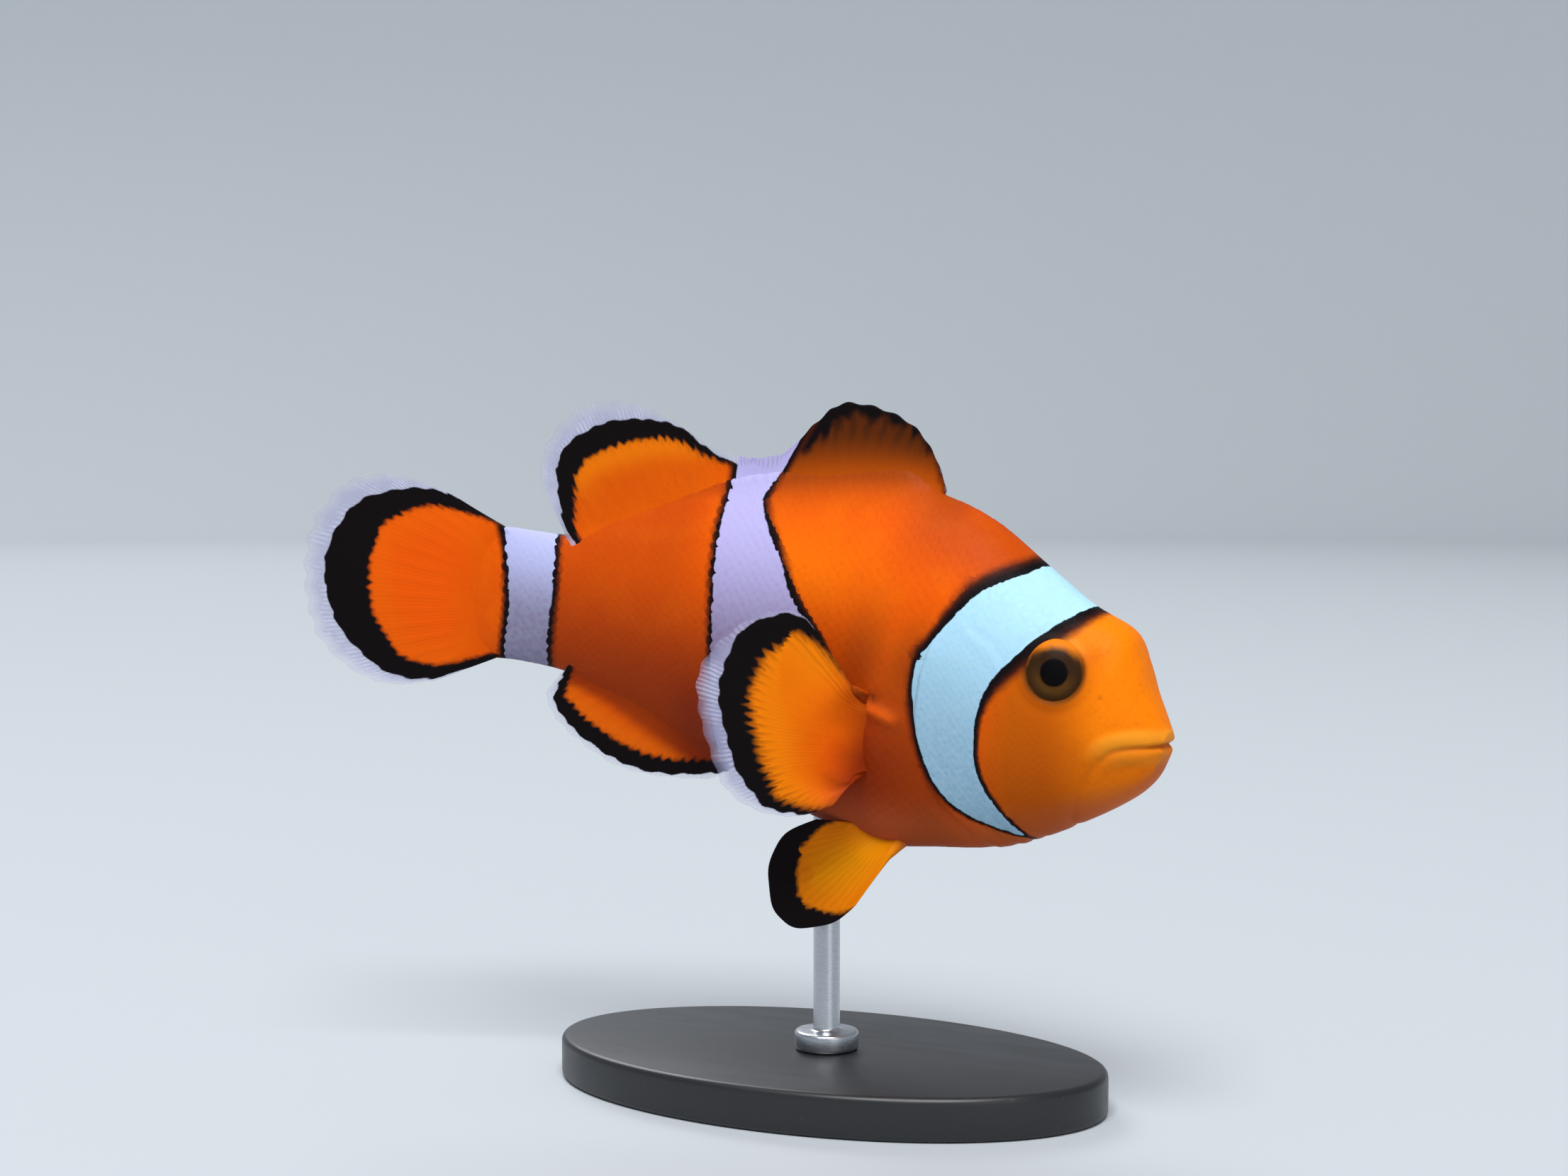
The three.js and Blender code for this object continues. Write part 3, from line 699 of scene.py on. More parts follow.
@dataclass
class Hide:
    """The finished surface of the right half of the body, as a grid that skin and scales share.

    Rows run from the snout to the tail. Columns run from the back to the belly at equal steps, and
    go on a little past both ridges so that a scale may lie across them.
    """

    head_rows: int = 178
    trunk_rows: int = 92
    cap_rows: int = 12
    half_columns: int = 136
    spare: int = 12
    head_end: float = 23.0
    snout: Pair = (0.0, -0.1)
    tail: Pair = (70.6, 0.3)
    # Painted shade where the skin is drawn up into the fin roots: its strength and its rise.
    root_shade_share: float = 0.6
    root_shade_rise: Ramp = (0.2, 1.6)
    relief: Relief = Relief()
    markings: Markings = Markings()
    pose: SwimPose = SwimPose()
    grid: Array = field(init=False)
    normals: Array = field(init=False)
    fields: Fields = field(init=False)

    def __post_init__(self) -> None:
        """Works out the plain body, its relief and its markings."""
        plain = self.plain_body()
        directions = self.normals_of(plain)
        drawn = self.relief.ridges(plain)
        self.fields = self.markings.fields(plain + drawn[..., None] * np.array([0, 1, 0]))
        # Painted shade where the skin is drawn up into the roots of the dorsal and anal fins.
        root_shade = self.root_shade_share * smooth(np.abs(drawn), *self.root_shade_rise)
        self.fields["deep"] = np.maximum(self.fields["deep"], root_shade)
        sunk = self.relief.socket(plain)[..., None] * self.relief.eye.axes()[2]
        grid = plain + directions * self.relief.outward(plain)[..., None] - sunk
        grid[..., 1] += drawn
        self.grid = self.softened(grid)
        self.normals = self.normals_of(self.grid)

    def slices(self, t: Array, angle: Array) -> Array:
        """Points of the plain body.

        Args:
            t: places along the sections, from 0 to 1.
            angle: angles from the back down the right flank, of the same shape.

        Returns:
            Points (s, u, v) of that shape.
        """
        rows = spline(tuple(k.numbers() for k in SECTIONS), t)
        back, belly = rows[..., 0:2], rows[..., 2:4]
        width, crown, keel = rows[..., 4], rows[..., 5], rows[..., 6]
        height, side = np.cos(angle)[..., None], np.clip(np.sin(angle), 0, 1)
        middle = (back + belly) / 2 + (back - belly) / 2 * height
        breadth = width * side ** np.where(height[..., 0] > 0, crown, keel)
        return np.concatenate([middle, breadth[..., None]], -1)

    def stations(self) -> Array:
        """Places of the rows along the sections, close together on the head."""
        fine = np.linspace(0, 1, 2000)
        rows = spline(tuple(k.numbers() for k in SECTIONS), fine)
        middle_s = (rows[:, 0] + rows[:, 2]) / 2
        head = np.linspace(middle_s[0], self.head_end, self.head_rows, endpoint=False)
        trunk = np.linspace(self.head_end, middle_s[-1], self.trunk_rows)
        return np.interp(np.concatenate([head, trunk]), middle_s, fine)

    def plain_body(self) -> Array:
        """The body without its relief, with equal steps round each row and a cap at either end."""
        t = self.stations()
        turn = np.linspace(0, math.pi, 361)
        dense = self.slices(np.repeat(t[:, None], len(turn), 1), np.repeat(turn[None], len(t), 0))
        steps = np.linalg.norm(np.diff(dense, axis=1), axis=-1)
        run = np.concatenate([np.zeros((len(t), 1)), np.cumsum(steps, 1)], 1)
        share = np.linspace(0, 1, self.half_columns + 1)
        angles = np.array([np.interp(share * row[-1], row, turn) for row in run])
        body = self.slices(np.repeat(t[:, None], len(share), 1), angles)
        grow = np.sin(np.linspace(0, math.pi / 2, self.cap_rows, endpoint=False))[:, None, None]
        front = self.cap(body[0], self.snout, grow)
        rear = self.cap(body[-1], self.tail, grow)[::-1]
        return np.concatenate([front, body, rear])

    def cap(self, ring: Array, tip: Pair, grow: Array) -> Array:
        """Rings that close the body from a tip out to its first or last ring."""
        point = np.array([*tip, 0.0])
        rings = point + (ring[None] - point) * grow
        lag = 1 - np.sqrt(1 - grow[..., 0] ** 2)
        rings[..., 0] = point[0] + (ring[None, :, 0] - point[0]) * lag
        return rings

    def beyond(self, values: Array, mirror: Array, spare: int) -> Array:
        """The grid's values continued past the back and the belly, multiplied there by mirror."""
        over_back = values[:, spare:0:-1] * mirror
        over_belly = values[:, -2:-spare - 2:-1] * mirror
        return np.concatenate([over_back, values, over_belly], 1)

    def normals_of(self, grid: Array) -> Array:
        """Outward unit normals of a grid of body points."""
        wide = self.beyond(grid, np.array([1, 1, -1]), 1)
        down = (wide[:, 2:] - wide[:, :-2]) / 2
        back = np.gradient(grid, axis=0)
        normal = np.cross(down, back)
        length = np.linalg.norm(normal, axis=-1, keepdims=True)
        normal = normal / np.maximum(length, 1e-9)
        normal[0], normal[-1] = (-1.0, 0, 0), (1.0, 0, 0)
        return normal

    def softened(self, grid: Array) -> Array:
        """The grid with its sharpest corners eased."""
        for _ in range(2):
            wide = self.beyond(grid, np.array([1, 1, -1]), 1)
            grid = 0.6 * grid + 0.2 * (wide[:, 2:] + wide[:, :-2])
            grid[1:-1] = 0.6 * grid[1:-1] + 0.2 * (grid[2:] + grid[:-2])
        return grid


class HideSampler:
    """Reads the hide by x, the way back along the flank's middle, and w, the way up from it."""

    def __init__(self, hide: Hide) -> None:
        """Measures the grid.

        Args:
            hide: the surface to read.
        """
        self.spare = hide.spare
        self.half = hide.half_columns
        middle = hide.grid[:, self.half // 2]
        self.x = np.concatenate([[0], np.cumsum(np.linalg.norm(np.diff(middle, axis=0), axis=1))])
        rounds = np.linalg.norm(np.diff(hide.grid, axis=1), axis=-1).sum(1)
        self.girth = np.maximum(rounds, 0.5)
        straight = np.concatenate([hide.grid, hide.normals], -1)
        flip = np.array([1, 1, -1, 1, 1, -1])
        self.table = hide.beyond(straight, flip, self.spare)
        self.field_names = sorted(hide.fields)
        stacked = np.stack([hide.fields[name] for name in self.field_names], -1)
        self.field_table = hide.beyond(stacked, np.ones(len(self.field_names)), self.spare)

    def read(self, table: Array, x: Array, w: Array) -> Array:
        """Values of a table between its rows and columns.

        Args:
            table: one value or more for each place of the widened grid.
            x: ways back along the flank, in millimetres.
            w: ways up from its middle, of the same shape.

        Returns:
            The values, one row for each place.
        """
        row = np.interp(x, self.x, np.arange(len(self.x)))
        girth = np.interp(row, np.arange(len(self.girth)), self.girth)
        column = self.half / 2 - w / girth * self.half + self.spare
        row = np.clip(row, 0, table.shape[0] - 1.001)
        column = np.clip(column, 0, table.shape[1] - 1.001)
        i, j = row.astype(int), column.astype(int)
        a, b = (row - i)[..., None], (column - j)[..., None]
        upper = table[i, j] * (1 - b) + table[i, j + 1] * b
        lower = table[i + 1, j] * (1 - b) + table[i + 1, j + 1] * b
        return upper * (1 - a) + lower * a

    def surface(self, x: Array, w: Array) -> Arrays:
        """Points and unit normals of the hide, in body coordinates."""
        both = self.read(self.table, x, w)
        normal = both[..., 3:]
        return both[..., :3], normal / np.linalg.norm(normal, axis=-1, keepdims=True)

    def marks(self, x: Array, w: Array) -> Fields:
        """The markings' fields at places on the flank."""
        values = self.read(self.field_table, x, w)
        return {name: values[..., k] for k, name in enumerate(self.field_names)}


# ---- materials


class Shade:
    """Builds one material from nodes. Lengths in its patterns are millimetres."""

    def __init__(self, name: str) -> None:
        """Starts an empty material.

        Args:
            name: the material's name.
        """
        self.material = bpy.data.materials.new(name)
        self.material.use_nodes = True
        self.tree = self.material.node_tree
        self.tree.nodes.clear()
        self.place = self.node("ShaderNodeTexCoord").outputs["Object"]

    def node(self, kind: str, **settings: object) -> bpy.types.Node:
        """Adds a node with some of its settings."""
        made = self.tree.nodes.new(kind)
        for name, value in settings.items():
            setattr(made, name, value)
        return made

    def feed(self, socket: Socket, value: object) -> None:
        """Links a socket to an input, or sets the input's own value."""
        if isinstance(value, bpy.types.NodeSocket):
            self.tree.links.new(value, socket)
        elif isinstance(value, tuple) and len(value) == 3 and socket.type == "RGBA":
            socket.default_value = (*value, 1.0)
        else:
            socket.default_value = value

    def attribute(self, name: str) -> Socket:
        """A field of the mesh."""
        return self.node("ShaderNodeAttribute", attribute_name=name).outputs["Fac"]

    def math(self, operation: str, a: object, b: object) -> Socket:
        """A sum of two numbers, by the name of the operation."""
        made = self.node("ShaderNodeMath", operation=operation)
        self.feed(made.inputs[0], a)
        self.feed(made.inputs[1], b)
        return made.outputs[0]

    def plus(self, a: object, b: object) -> Socket:
        """a + b."""
        return self.math("ADD", a, b)

    def minus(self, a: object, b: object) -> Socket:
        """a - b."""
        return self.math("SUBTRACT", a, b)

    def times(self, a: object, b: object) -> Socket:
        """a * b."""
        return self.math("MULTIPLY", a, b)

    def rest(self, share: object) -> Socket:
        """What a share leaves of 1."""
        return self.minus(1.0, share)

    def swing(self, wave: object, size: object) -> Socket:
        """A wave of 0 to 1, moved to swing about 0, times its size."""
        return self.times(self.minus(wave, 0.5), size)

    def step(self, value: object, start: object, end: object) -> Socket:
        """0 before start and 1 after end, softly."""
        made = self.node("ShaderNodeMapRange", interpolation_type="SMOOTHSTEP")
        for name, given in (("Value", value), ("From Min", start), ("From Max", end)):
            self.feed(made.inputs[name], given)
        return made.outputs[0]

    def mix(self, share: object, a: object, b: object) -> Socket:
        """Colour a, going over to b."""
        made = self.node("ShaderNodeMix", data_type="RGBA")
        self.feed(made.inputs[0], share)
        self.feed(made.inputs[6], a)
        self.feed(made.inputs[7], b)
        return made.outputs[2]

    def noise(self, size: float, detail: float = 2.0, stretch: Triple = (1, 1, 1)) -> Socket:
        """Soft random values from 0 to 1, with blotches of the given size."""
        turned = self.node("ShaderNodeMapping")
        self.feed(turned.inputs["Vector"], self.place)
        turned.inputs["Scale"].default_value = stretch
        made = self.node("ShaderNodeTexNoise")
        self.feed(made.inputs["Vector"], turned.outputs[0])
        made.inputs["Scale"].default_value = 1 / (size * MM)
        made.inputs["Detail"].default_value = detail
        return made.outputs["Fac"]

    def pebbles(self, size: float) -> Socket:
        """Small rounded cells of the given size, 0 at their middles."""
        made = self.node("ShaderNodeTexVoronoi", feature="SMOOTH_F1")
        self.feed(made.inputs["Vector"], self.place)
        made.inputs["Scale"].default_value = 1 / (size * MM)
        return made.outputs["Distance"]

    def bump(self, height: Socket, depth: float) -> Socket:
        """A normal for fine relief of the given depth in millimetres."""
        made = self.node("ShaderNodeBump")
        made.inputs["Distance"].default_value = depth * MM
        self.feed(made.inputs["Height"], height)
        return made.outputs[0]

    def principled(self, **sockets: object) -> bpy.types.Node:
        """A Principled shader with the named sockets, underscores standing for spaces."""
        made = self.node("ShaderNodeBsdfPrincipled")
        for name, value in sockets.items():
            self.feed(made.inputs[name.replace("_", " ")], value)
        return made

    def finish(self, shader: Socket) -> Material:
        """Ends the material in a shader."""
        out = self.node("ShaderNodeOutputMaterial")
        self.tree.links.new(shader, out.inputs["Surface"])
        return self.material

    def banded(self, ground: Socket, jitter: Socket) -> tuple[Socket, Socket]:
        """The bands laid over a ground colour.

        Args:
            ground: the colour between the bands.
            jitter: how far the edges wander, in millimetres.

        Returns:
            The colour, and the share of white in it.
        """
        depth = self.plus(self.attribute("band"), jitter)
        outside = self.times(depth, -1.0)
        line = self.attribute("line")
        fringe_end = self.plus(line, self.attribute("fringe"))
        inked = self.rest(self.step(outside, line, fringe_end))
        near = self.step(outside, self.times(line, 0.4), self.times(fringe_end, 0.8))
        soft_ink = self.mix(near, INK, UMBER)
        white = self.step(depth, -0.05, 0.05)
        pearl = self.attribute("pearl")
        tone = self.mix(pearl, COLD_WHITE, LAVENDER_WHITE)
        low = self.mix(pearl, SHADED_COLD, SHADED_LAVENDER)
        tone = self.mix(self.attribute("shade"), tone, low)
        cells = self.times(self.step(self.pebbles(0.5), 0.0, 0.75), 0.36)
        cells = self.times(cells, self.rest(self.times(pearl, 0.7)))
        tone = self.mix(cells, tone, PEBBLE_GREY)
        return self.mix(white, self.mix(inked, ground, soft_ink), tone), white


INK = colour(15, 10, 12)
UMBER = colour(84, 30, 10)
COLD_WHITE = colour(177, 224, 247)
LAVENDER_WHITE = colour(181, 171, 221)
SHADED_COLD = colour(139, 176, 200)
SHADED_LAVENDER = colour(126, 104, 134)
PEBBLE_GREY = colour(168, 198, 212)


@dataclass(frozen=True)
class Ground:
    """The hide's orange, bright flank to belly darkened by painted shade, and the face's own tones.

    layers are the fields laid over the ground in turn, each in the tone of its own name, and how
    strongly.
    """

    flank: Colour = colour(226, 86, 1)
    # A brighter orange for random patches and for the painted highlight.
    warm_and_highlight: Colour = colour(240, 108, 2)
    # Painted shade towards the belly, with the nape's darker tone.
    deep: Colour = colour(138, 43, 8)
    # The face's own tone, also used in the painted shadows by the gill cover and the pectoral fin.
    face: Colour = colour(187, 86, 2)
    snout: Colour = colour(246, 126, 4)
    lips: Colour = colour(238, 154, 40)
    # Painted shade in the mouth's cleft.
    crease: Colour = colour(158, 76, 14)
    # A painted highlight along the top of the eye's rim.
    brow: Colour = colour(236, 142, 40)
    # The darker skin round the eye, also the nostril's hollow painted dark as shade.
    rim: Colour = colour(120, 62, 14)
    # A dark spur, and the painted shadow in the hollow above the pectoral fin.
    pit: Colour = colour(58, 22, 8)
    belly: Colour = colour(176, 88, 52)
    mantle: Colour = colour(140, 59, 6)
    lobe: Colour = colour(224, 92, 12)
    freckle: Colour = colour(186, 66, 6)
    patch_size: float = 3.2
    patch_share: float = 0.3
    freckle_size: float = 0.45
    freckle_share: float = 0.16
    layers: tuple[tuple[str, float], ...] = (
        ("mantle", 1.0), ("belly", 0.6), ("lips", 0.75), ("crease", 0.65), ("brow", 0.7),
        ("rim", 1.0), ("lobe", 0.8), ("pit", 1.0),
    )

    def painted(self, shade: Shade) -> Socket:
        """The colour between the bands."""
        patches = shade.step(shade.noise(self.patch_size, 3.0), 0.4, 0.7)
        tone = shade.mix(shade.times(patches, self.patch_share), self.flank, self.warm_and_highlight)
        # The painted highlight, the face's tone with its painted shadows, and the snout.
        for name, over in (("glow", self.warm_and_highlight), ("face", self.face), ("snout", self.snout)):
            tone = shade.mix(shade.attribute(name), tone, over)
        freckles = shade.step(shade.noise(self.freckle_size, 3.0), 0.45, 0.75)
        tone = shade.mix(shade.times(freckles, self.freckle_share), tone, self.freckle)
        # Painted shade, with the nape's darker tone.
        tone = shade.mix(shade.attribute("deep"), tone, self.deep)
        for name, most in self.layers:
            share = shade.times(shade.attribute(name), most)
            tone = shade.mix(share, tone, getattr(self, name))
        return tone


@dataclass(frozen=True)
class HideFinish:
    """Orange hide with its bands, for the skin and the scales alike."""

    name: str
    ground: Ground = Ground()
    jitter: float = 0.14
    grain: float = 0.02

    def material(self) -> Material:
        """Builds the material."""
        shade = Shade(self.name)
        fine = shade.noise(0.45, 3.0)
        wander = shade.swing(shade.noise(0.9, 2.0), self.jitter * 2)
        painted, white = shade.banded(self.ground.painted(shade), wander)
        height = shade.plus(fine, shade.times(shade.pebbles(0.5), white))
        surface = shade.principled(
            Base_Color=painted,
            Roughness=shade.plus(0.4, shade.times(fine, 0.2)),
            Specular_IOR_Level=0.06,
            Normal=shade.bump(height, self.grain),
        )
        return shade.finish(surface.outputs[0])


@dataclass(frozen=True)
class FinFinish:
    """A fin: coloured web, toothed black margin and a clear edge with the ray tips in it.

    Lengths are millimetres. teeth and streaks are waves for each ray. soft is half the width over
    which the black fades into the web. Dark streaks reach smoke in from the margin, and by_ink more
    for each millimetre of black, but not within clean of the fin's base; haze is the share of them
    that lies evenly. veins is how dark the lines along the rays are. Between web_start and
    web_end from the base the ground goes over to the web's colour, and towards the black the web
    takes outer_share of the outer colour. clear and rib are the membrane and the ray tips of the
    edge, and clear_alpha how solid it is.
    """

    name: str
    web: Colour
    teeth: float = 2.0
    soft: float = 0.3
    smoke: float = 1.0
    by_ink: float = 1.0
    smoke_share: float = 0.45
    smoke_tone: Colour = colour(96, 36, 8)
    haze: float = 0.0
    clean: float = 0.0
    outer: Colour = colour(234, 122, 6)
    outer_share: float = 0.0
    streaks: float = 2.0
    veins: float = 0.0
    web_start: float = 3.3
    web_end: float = 6.5
    clear: Colour = colour(172, 172, 204)
    rib: Colour = colour(206, 206, 228)
    clear_alpha: float = 0.32
    ground: Ground = Ground()

    def saw(self, shade: Shade, per_ray: float) -> Socket:
        """A soft wave from 0 to 1 across the rays, which wanders a little."""
        wander = shade.swing(shade.noise(2.2, 3.0), 0.9)
        phase = shade.plus(shade.times(shade.attribute("ray"), per_ray), wander)
        return shade.step(shade.times(shade.math("PINGPONG", phase, 0.5), 2.0), 0.05, 0.95)

    def smoked(self, shade: Shade, web: Socket) -> Socket:
        """The web with dark streaks that reach in from its margin."""
        rise, inset, ink = (shade.attribute(name) for name in ("rise", "inset", "ink"))
        streaks = shade.step(self.saw(shade, self.streaks), 0.3, 1.0)
        streaks = shade.plus(self.haze, shade.times(streaks, 1 - self.haze))
        streaks = shade.times(streaks, shade.attribute("inner"))
        reach = shade.plus(shade.times(ink, self.by_ink), self.smoke)
        depth = shade.step(inset, reach, shade.times(ink, 0.5))
        depth = shade.times(depth, shade.step(rise, self.clean, self.clean + 3.0))
        share = shade.times(shade.times(streaks, depth), self.smoke_share)
        return shade.mix(share, web, self.smoke_tone)

    def coloured(self, shade: Shade) -> Socket:
        """The web's colour from the fin's fleshy base out to the black."""
        rise, inset, ink = (shade.attribute(name) for name in ("rise", "inset", "ink"))
        grown = shade.step(rise, self.web_start, self.web_end)
        web = shade.mix(grown, self.ground.painted(shade), self.web)
        outer = shade.times(shade.step(shade.minus(inset, ink), 4.0, 0.5), grown)
        web = shade.mix(shade.times(outer, self.outer_share), web, self.outer)
        veins = shade.times(shade.step(self.saw(shade, 3.0), 0.35, 1.0), self.veins)
        return self.smoked(shade, shade.mix(veins, web, self.smoke_tone))

    def inked(self, shade: Shade, web: Socket, uneven: Socket) -> Socket:
        """The web with its black margin, toothed along the rays.

        Args:
            shade: builds the material.
            web: the web's colour.
            uneven: how far the margin wanders, in millimetres.

        Returns:
            The colour.
        """
        inset, ink, tooth = (shade.attribute(name) for name in ("inset", "ink", "tooth"))
        longer = shade.times(shade.step(shade.noise(1.3, 2.0), 0.3, 0.7), 1.4)
        teeth = shade.times(tooth, shade.plus(0.35, longer))
        ragged = shade.plus(shade.swing(self.saw(shade, self.teeth), teeth), uneven)
        inner = shade.plus(shade.minus(inset, ink), ragged)
        share = shade.rest(shade.step(inner, -self.soft, self.soft))
        return shade.mix(shade.times(share, shade.step(ink, 0.02, 0.15)), web, INK)

    def material(self) -> Material:
        """Builds the material."""
        shade = Shade(self.name)
        rise, tip, inset = (shade.attribute(name) for name in ("rise", "tip", "inset"))
        fine = shade.noise(0.4, 2.0)
        uneven = shade.swing(shade.noise(0.6, 3.0), 0.5)
        web = self.inked(shade, self.coloured(shade), uneven)
        web, white = shade.banded(web, shade.times(uneven, 0.3))
        scallop = shade.swing(self.saw(shade, 1.0), 0.16)
        edge = shade.plus(inset, shade.plus(scallop, shade.times(uneven, 0.45)))
        beyond = shade.times(shade.step(edge, 0.06, -0.08), shade.rest(white))
        hairs = shade.times(self.saw(shade, 5.0), shade.step(shade.noise(2.2, 3.0), 0.35, 0.65))
        painted = shade.mix(beyond, web, shade.mix(hairs, self.clear, self.rib))
        thin = shade.times(shade.plus(0.3, shade.step(tip, 0.0, 1.6)), self.clear_alpha)
        thin = shade.plus(thin, shade.times(hairs, 0.13))
        alpha = shade.rest(shade.times(beyond, shade.rest(thin)))
        frayed = shade.step(shade.plus(tip, shade.swing(hairs, -0.9)), 1.1, -0.2)
        frayed = shade.times(shade.times(frayed, white), 0.7)
        ribs = shade.times(self.saw(shade, 4.0), shade.step(rise, 1.5, 5.0))
        ribs = shade.times(ribs, shade.attribute("inner"))
        surface = shade.principled(
            Base_Color=painted,
            Roughness=shade.plus(0.42, shade.times(fine, 0.2)),
            Alpha=shade.times(alpha, shade.rest(frayed)),
            Specular_IOR_Level=0.05,
            Normal=shade.bump(shade.plus(fine, ribs), 0.006),
        )
        return shade.finish(surface.outputs[0])


@dataclass(frozen=True)
class IrisFinish:
    """The eyeball: a black pupil, a brown iris that is olive below, and a dark outer ring.

    The rings say at what radius each tone sets in and is full. lid is the tone of the skin that
    hoods the top of the eye.
    """

    name: str = "iris"
    pupil_radius: float = 1.2
    limbus_ring: Ramp = (1.6, 2.15)
    edge_ring: Ramp = (2.35, 2.75)
    lid_ring: Ramp = (1.85, 2.6)
    dark: Colour = colour(46, 27, 14)
    olive: Colour = colour(80, 50, 16)
    thread: Colour = colour(120, 76, 32)
    limbus: Colour = colour(52, 34, 14)
    edge: Colour = colour(150, 76, 16)
    lid: Colour = colour(232, 126, 24)

    def material(self) -> Material:
        """Builds the material."""
        shade = Shade(self.name)
        radius, low = shade.attribute("radius"), shade.attribute("low")
        wander = shade.swing(shade.noise(0.9, 3.0), 0.5)
        iris = shade.mix(shade.plus(low, wander), self.dark, self.olive)
        threads = shade.noise(0.14, 3.0)
        iris = shade.mix(shade.times(shade.step(threads, 0.5, 0.75), 0.25), iris, self.thread)
        ring = shade.plus(radius, wander)
        iris = shade.mix(shade.times(shade.step(ring, *self.limbus_ring), 0.8), iris, self.limbus)
        iris = shade.mix(shade.step(ring, *self.edge_ring), iris, self.edge)
        lid = shade.times(shade.attribute("lid"), shade.step(ring, *self.lid_ring))
        iris = shade.mix(lid, iris, self.lid)
        pupil = shade.step(radius, self.pupil_radius + 0.12, self.pupil_radius - 0.06)
        surface = shade.principled(
            Base_Color=shade.mix(pupil, iris, colour(5, 4, 5)),
            Roughness=0.6,
            Specular_IOR_Level=0.0,
            Normal=shade.bump(threads, 0.015),
        )
        return shade.finish(surface.outputs[0])


@dataclass(frozen=True)
class CorneaFinish:
    """The clear, wet dome over the eye."""

    name: str = "cornea"
    index: float = 1.16
    most: float = 0.006

    def material(self) -> Material:
        """Builds the material."""
        shade = Shade(self.name)
        clear = shade.node("ShaderNodeBsdfTransparent")
        wet = shade.principled(Base_Color=(0.95, 0.97, 1.0), Metallic=1.0, Roughness=0.42)
        shine = shade.node("ShaderNodeFresnel")
        shine.inputs["IOR"].default_value = self.index
        both = shade.node("ShaderNodeMixShader")
        shade.feed(both.inputs[0], shade.math("MINIMUM", shine.outputs[0], self.most))
        shade.feed(both.inputs[1], clear.outputs[0])
        shade.feed(both.inputs[2], wet.outputs[0])
        return shade.finish(both.outputs[0])


@dataclass(frozen=True)
class AcrylicFinish:
    """Satin black acrylic with faint wiping marks."""

    name: str = "black_acrylic"

    def material(self) -> Material:
        """Builds the material."""
        shade = Shade(self.name)
        wiped = shade.noise(2.5, 4.0, (0.25, 1.0, 1.0))
        dust = shade.step(shade.noise(0.5, 2.0), 0.66, 0.8)
        tone = shade.mix(shade.times(dust, 0.25), colour(28, 29, 32), colour(88, 88, 92))
        surface = shade.principled(
            Base_Color=tone,
            Roughness=shade.plus(0.26, shade.times(wiped, 0.22)),
            Specular_IOR_Level=0.5,
            Normal=shade.bump(wiped, 0.004),
        )
        return shade.finish(surface.outputs[0])


@dataclass(frozen=True)
class SteelFinish:
    """Brushed stainless steel, brushed round the rod."""

    name: str = "brushed_steel"

    def material(self) -> Material:
        """Builds the material."""
        shade = Shade(self.name)
        brushed = shade.noise(0.8, 4.0, (1.0, 1.0, 12.0))
        surface = shade.principled(
            Base_Color=shade.mix(brushed, colour(176, 180, 186), colour(214, 217, 222)),
            Metallic=1.0,
            Roughness=shade.plus(0.2, shade.times(brushed, 0.18)),
            Normal=shade.bump(brushed, 0.006),
        )
        return shade.finish(surface.outputs[0])


@dataclass(frozen=True)
class FloorFinish:
    """A pale, matt studio floor."""

    name: str = "pale_floor"
    tone: Colour = (0.5, 0.53, 0.56)

    def material(self) -> Material:
        """Builds the material."""
        shade = Shade(self.name)
        surface = shade.principled(Base_Color=self.tone, Roughness=0.8, Specular_IOR_Level=0.2)
        return shade.finish(surface.outputs[0])


# ---- making meshes


def only(piece: Piece) -> None:
    """Makes a piece the one that is selected and active."""
    bpy.ops.object.select_all(action="DESELECT")
    piece.select_set(True)
    bpy.context.view_layer.objects.active = piece


@contextmanager
def editing(piece: Piece, action: str) -> Iterator[None]:
    """Opens a piece for editing.

    Args:
        piece: the piece.
        action: SELECT or DESELECT all of its mesh, or KEEP what is selected.

    Yields:
        Nothing, while it is open.
    """
    only(piece)
    bpy.ops.object.mode_set(mode="EDIT")
    if action != "KEEP":
        bpy.ops.mesh.select_all(action=action)
    yield
    bpy.ops.object.mode_set(mode="OBJECT")


def added(operator: Callable, name: str, **settings: object) -> Piece:
    """Adds a primitive under its own name, with nothing else selected."""
    bpy.ops.object.select_all(action="DESELECT")
    operator(**settings)
    piece = bpy.context.active_object
    piece.name = name
    piece.data.name = name
    return piece


def points_of(piece: Piece) -> Array:
    """The places of a mesh's vertices, one row for each."""
    co = np.empty(len(piece.data.vertices) * 3)
    piece.data.vertices.foreach_get("co", co)
    return co.reshape(-1, 3)


def ball(name: str, segments: int, rings: int) -> tuple[Piece, Array, Array]:
    """A ball, with the angle of each vertex from its top and about its axis."""
    piece = added(
        bpy.ops.mesh.primitive_uv_sphere_add, name, segments=segments, ring_count=rings, radius=1.0
    )
    x, y, z = points_of(piece).T
    return piece, np.arccos(np.clip(z, -1, 1)), np.arctan2(y, x)


def rounded(piece: Piece, degrees: float, **settings: object) -> Piece:
    """Bevels a piece's edges and shades it smooth over corners of less than an angle."""
    with_modifier(piece, "BEVEL", limit_method="ANGLE", **settings)
    only(piece)
    bpy.ops.object.shade_smooth_by_angle(angle=math.radians(degrees))
    return piece


def put_points(piece: Piece, points: Array) -> None:
    """Moves a mesh's vertices."""
    piece.data.vertices.foreach_set("co", np.ascontiguousarray(points, np.float32).ravel())
    piece.data.update()


def put_fields(piece: Piece, fields: Fields) -> None:
    """Writes one number for each vertex under each name."""
    for name, values in fields.items():
        made = piece.data.attributes.new(name, "FLOAT", "POINT")
        made.data.foreach_set("value", np.ascontiguousarray(values, np.float32))


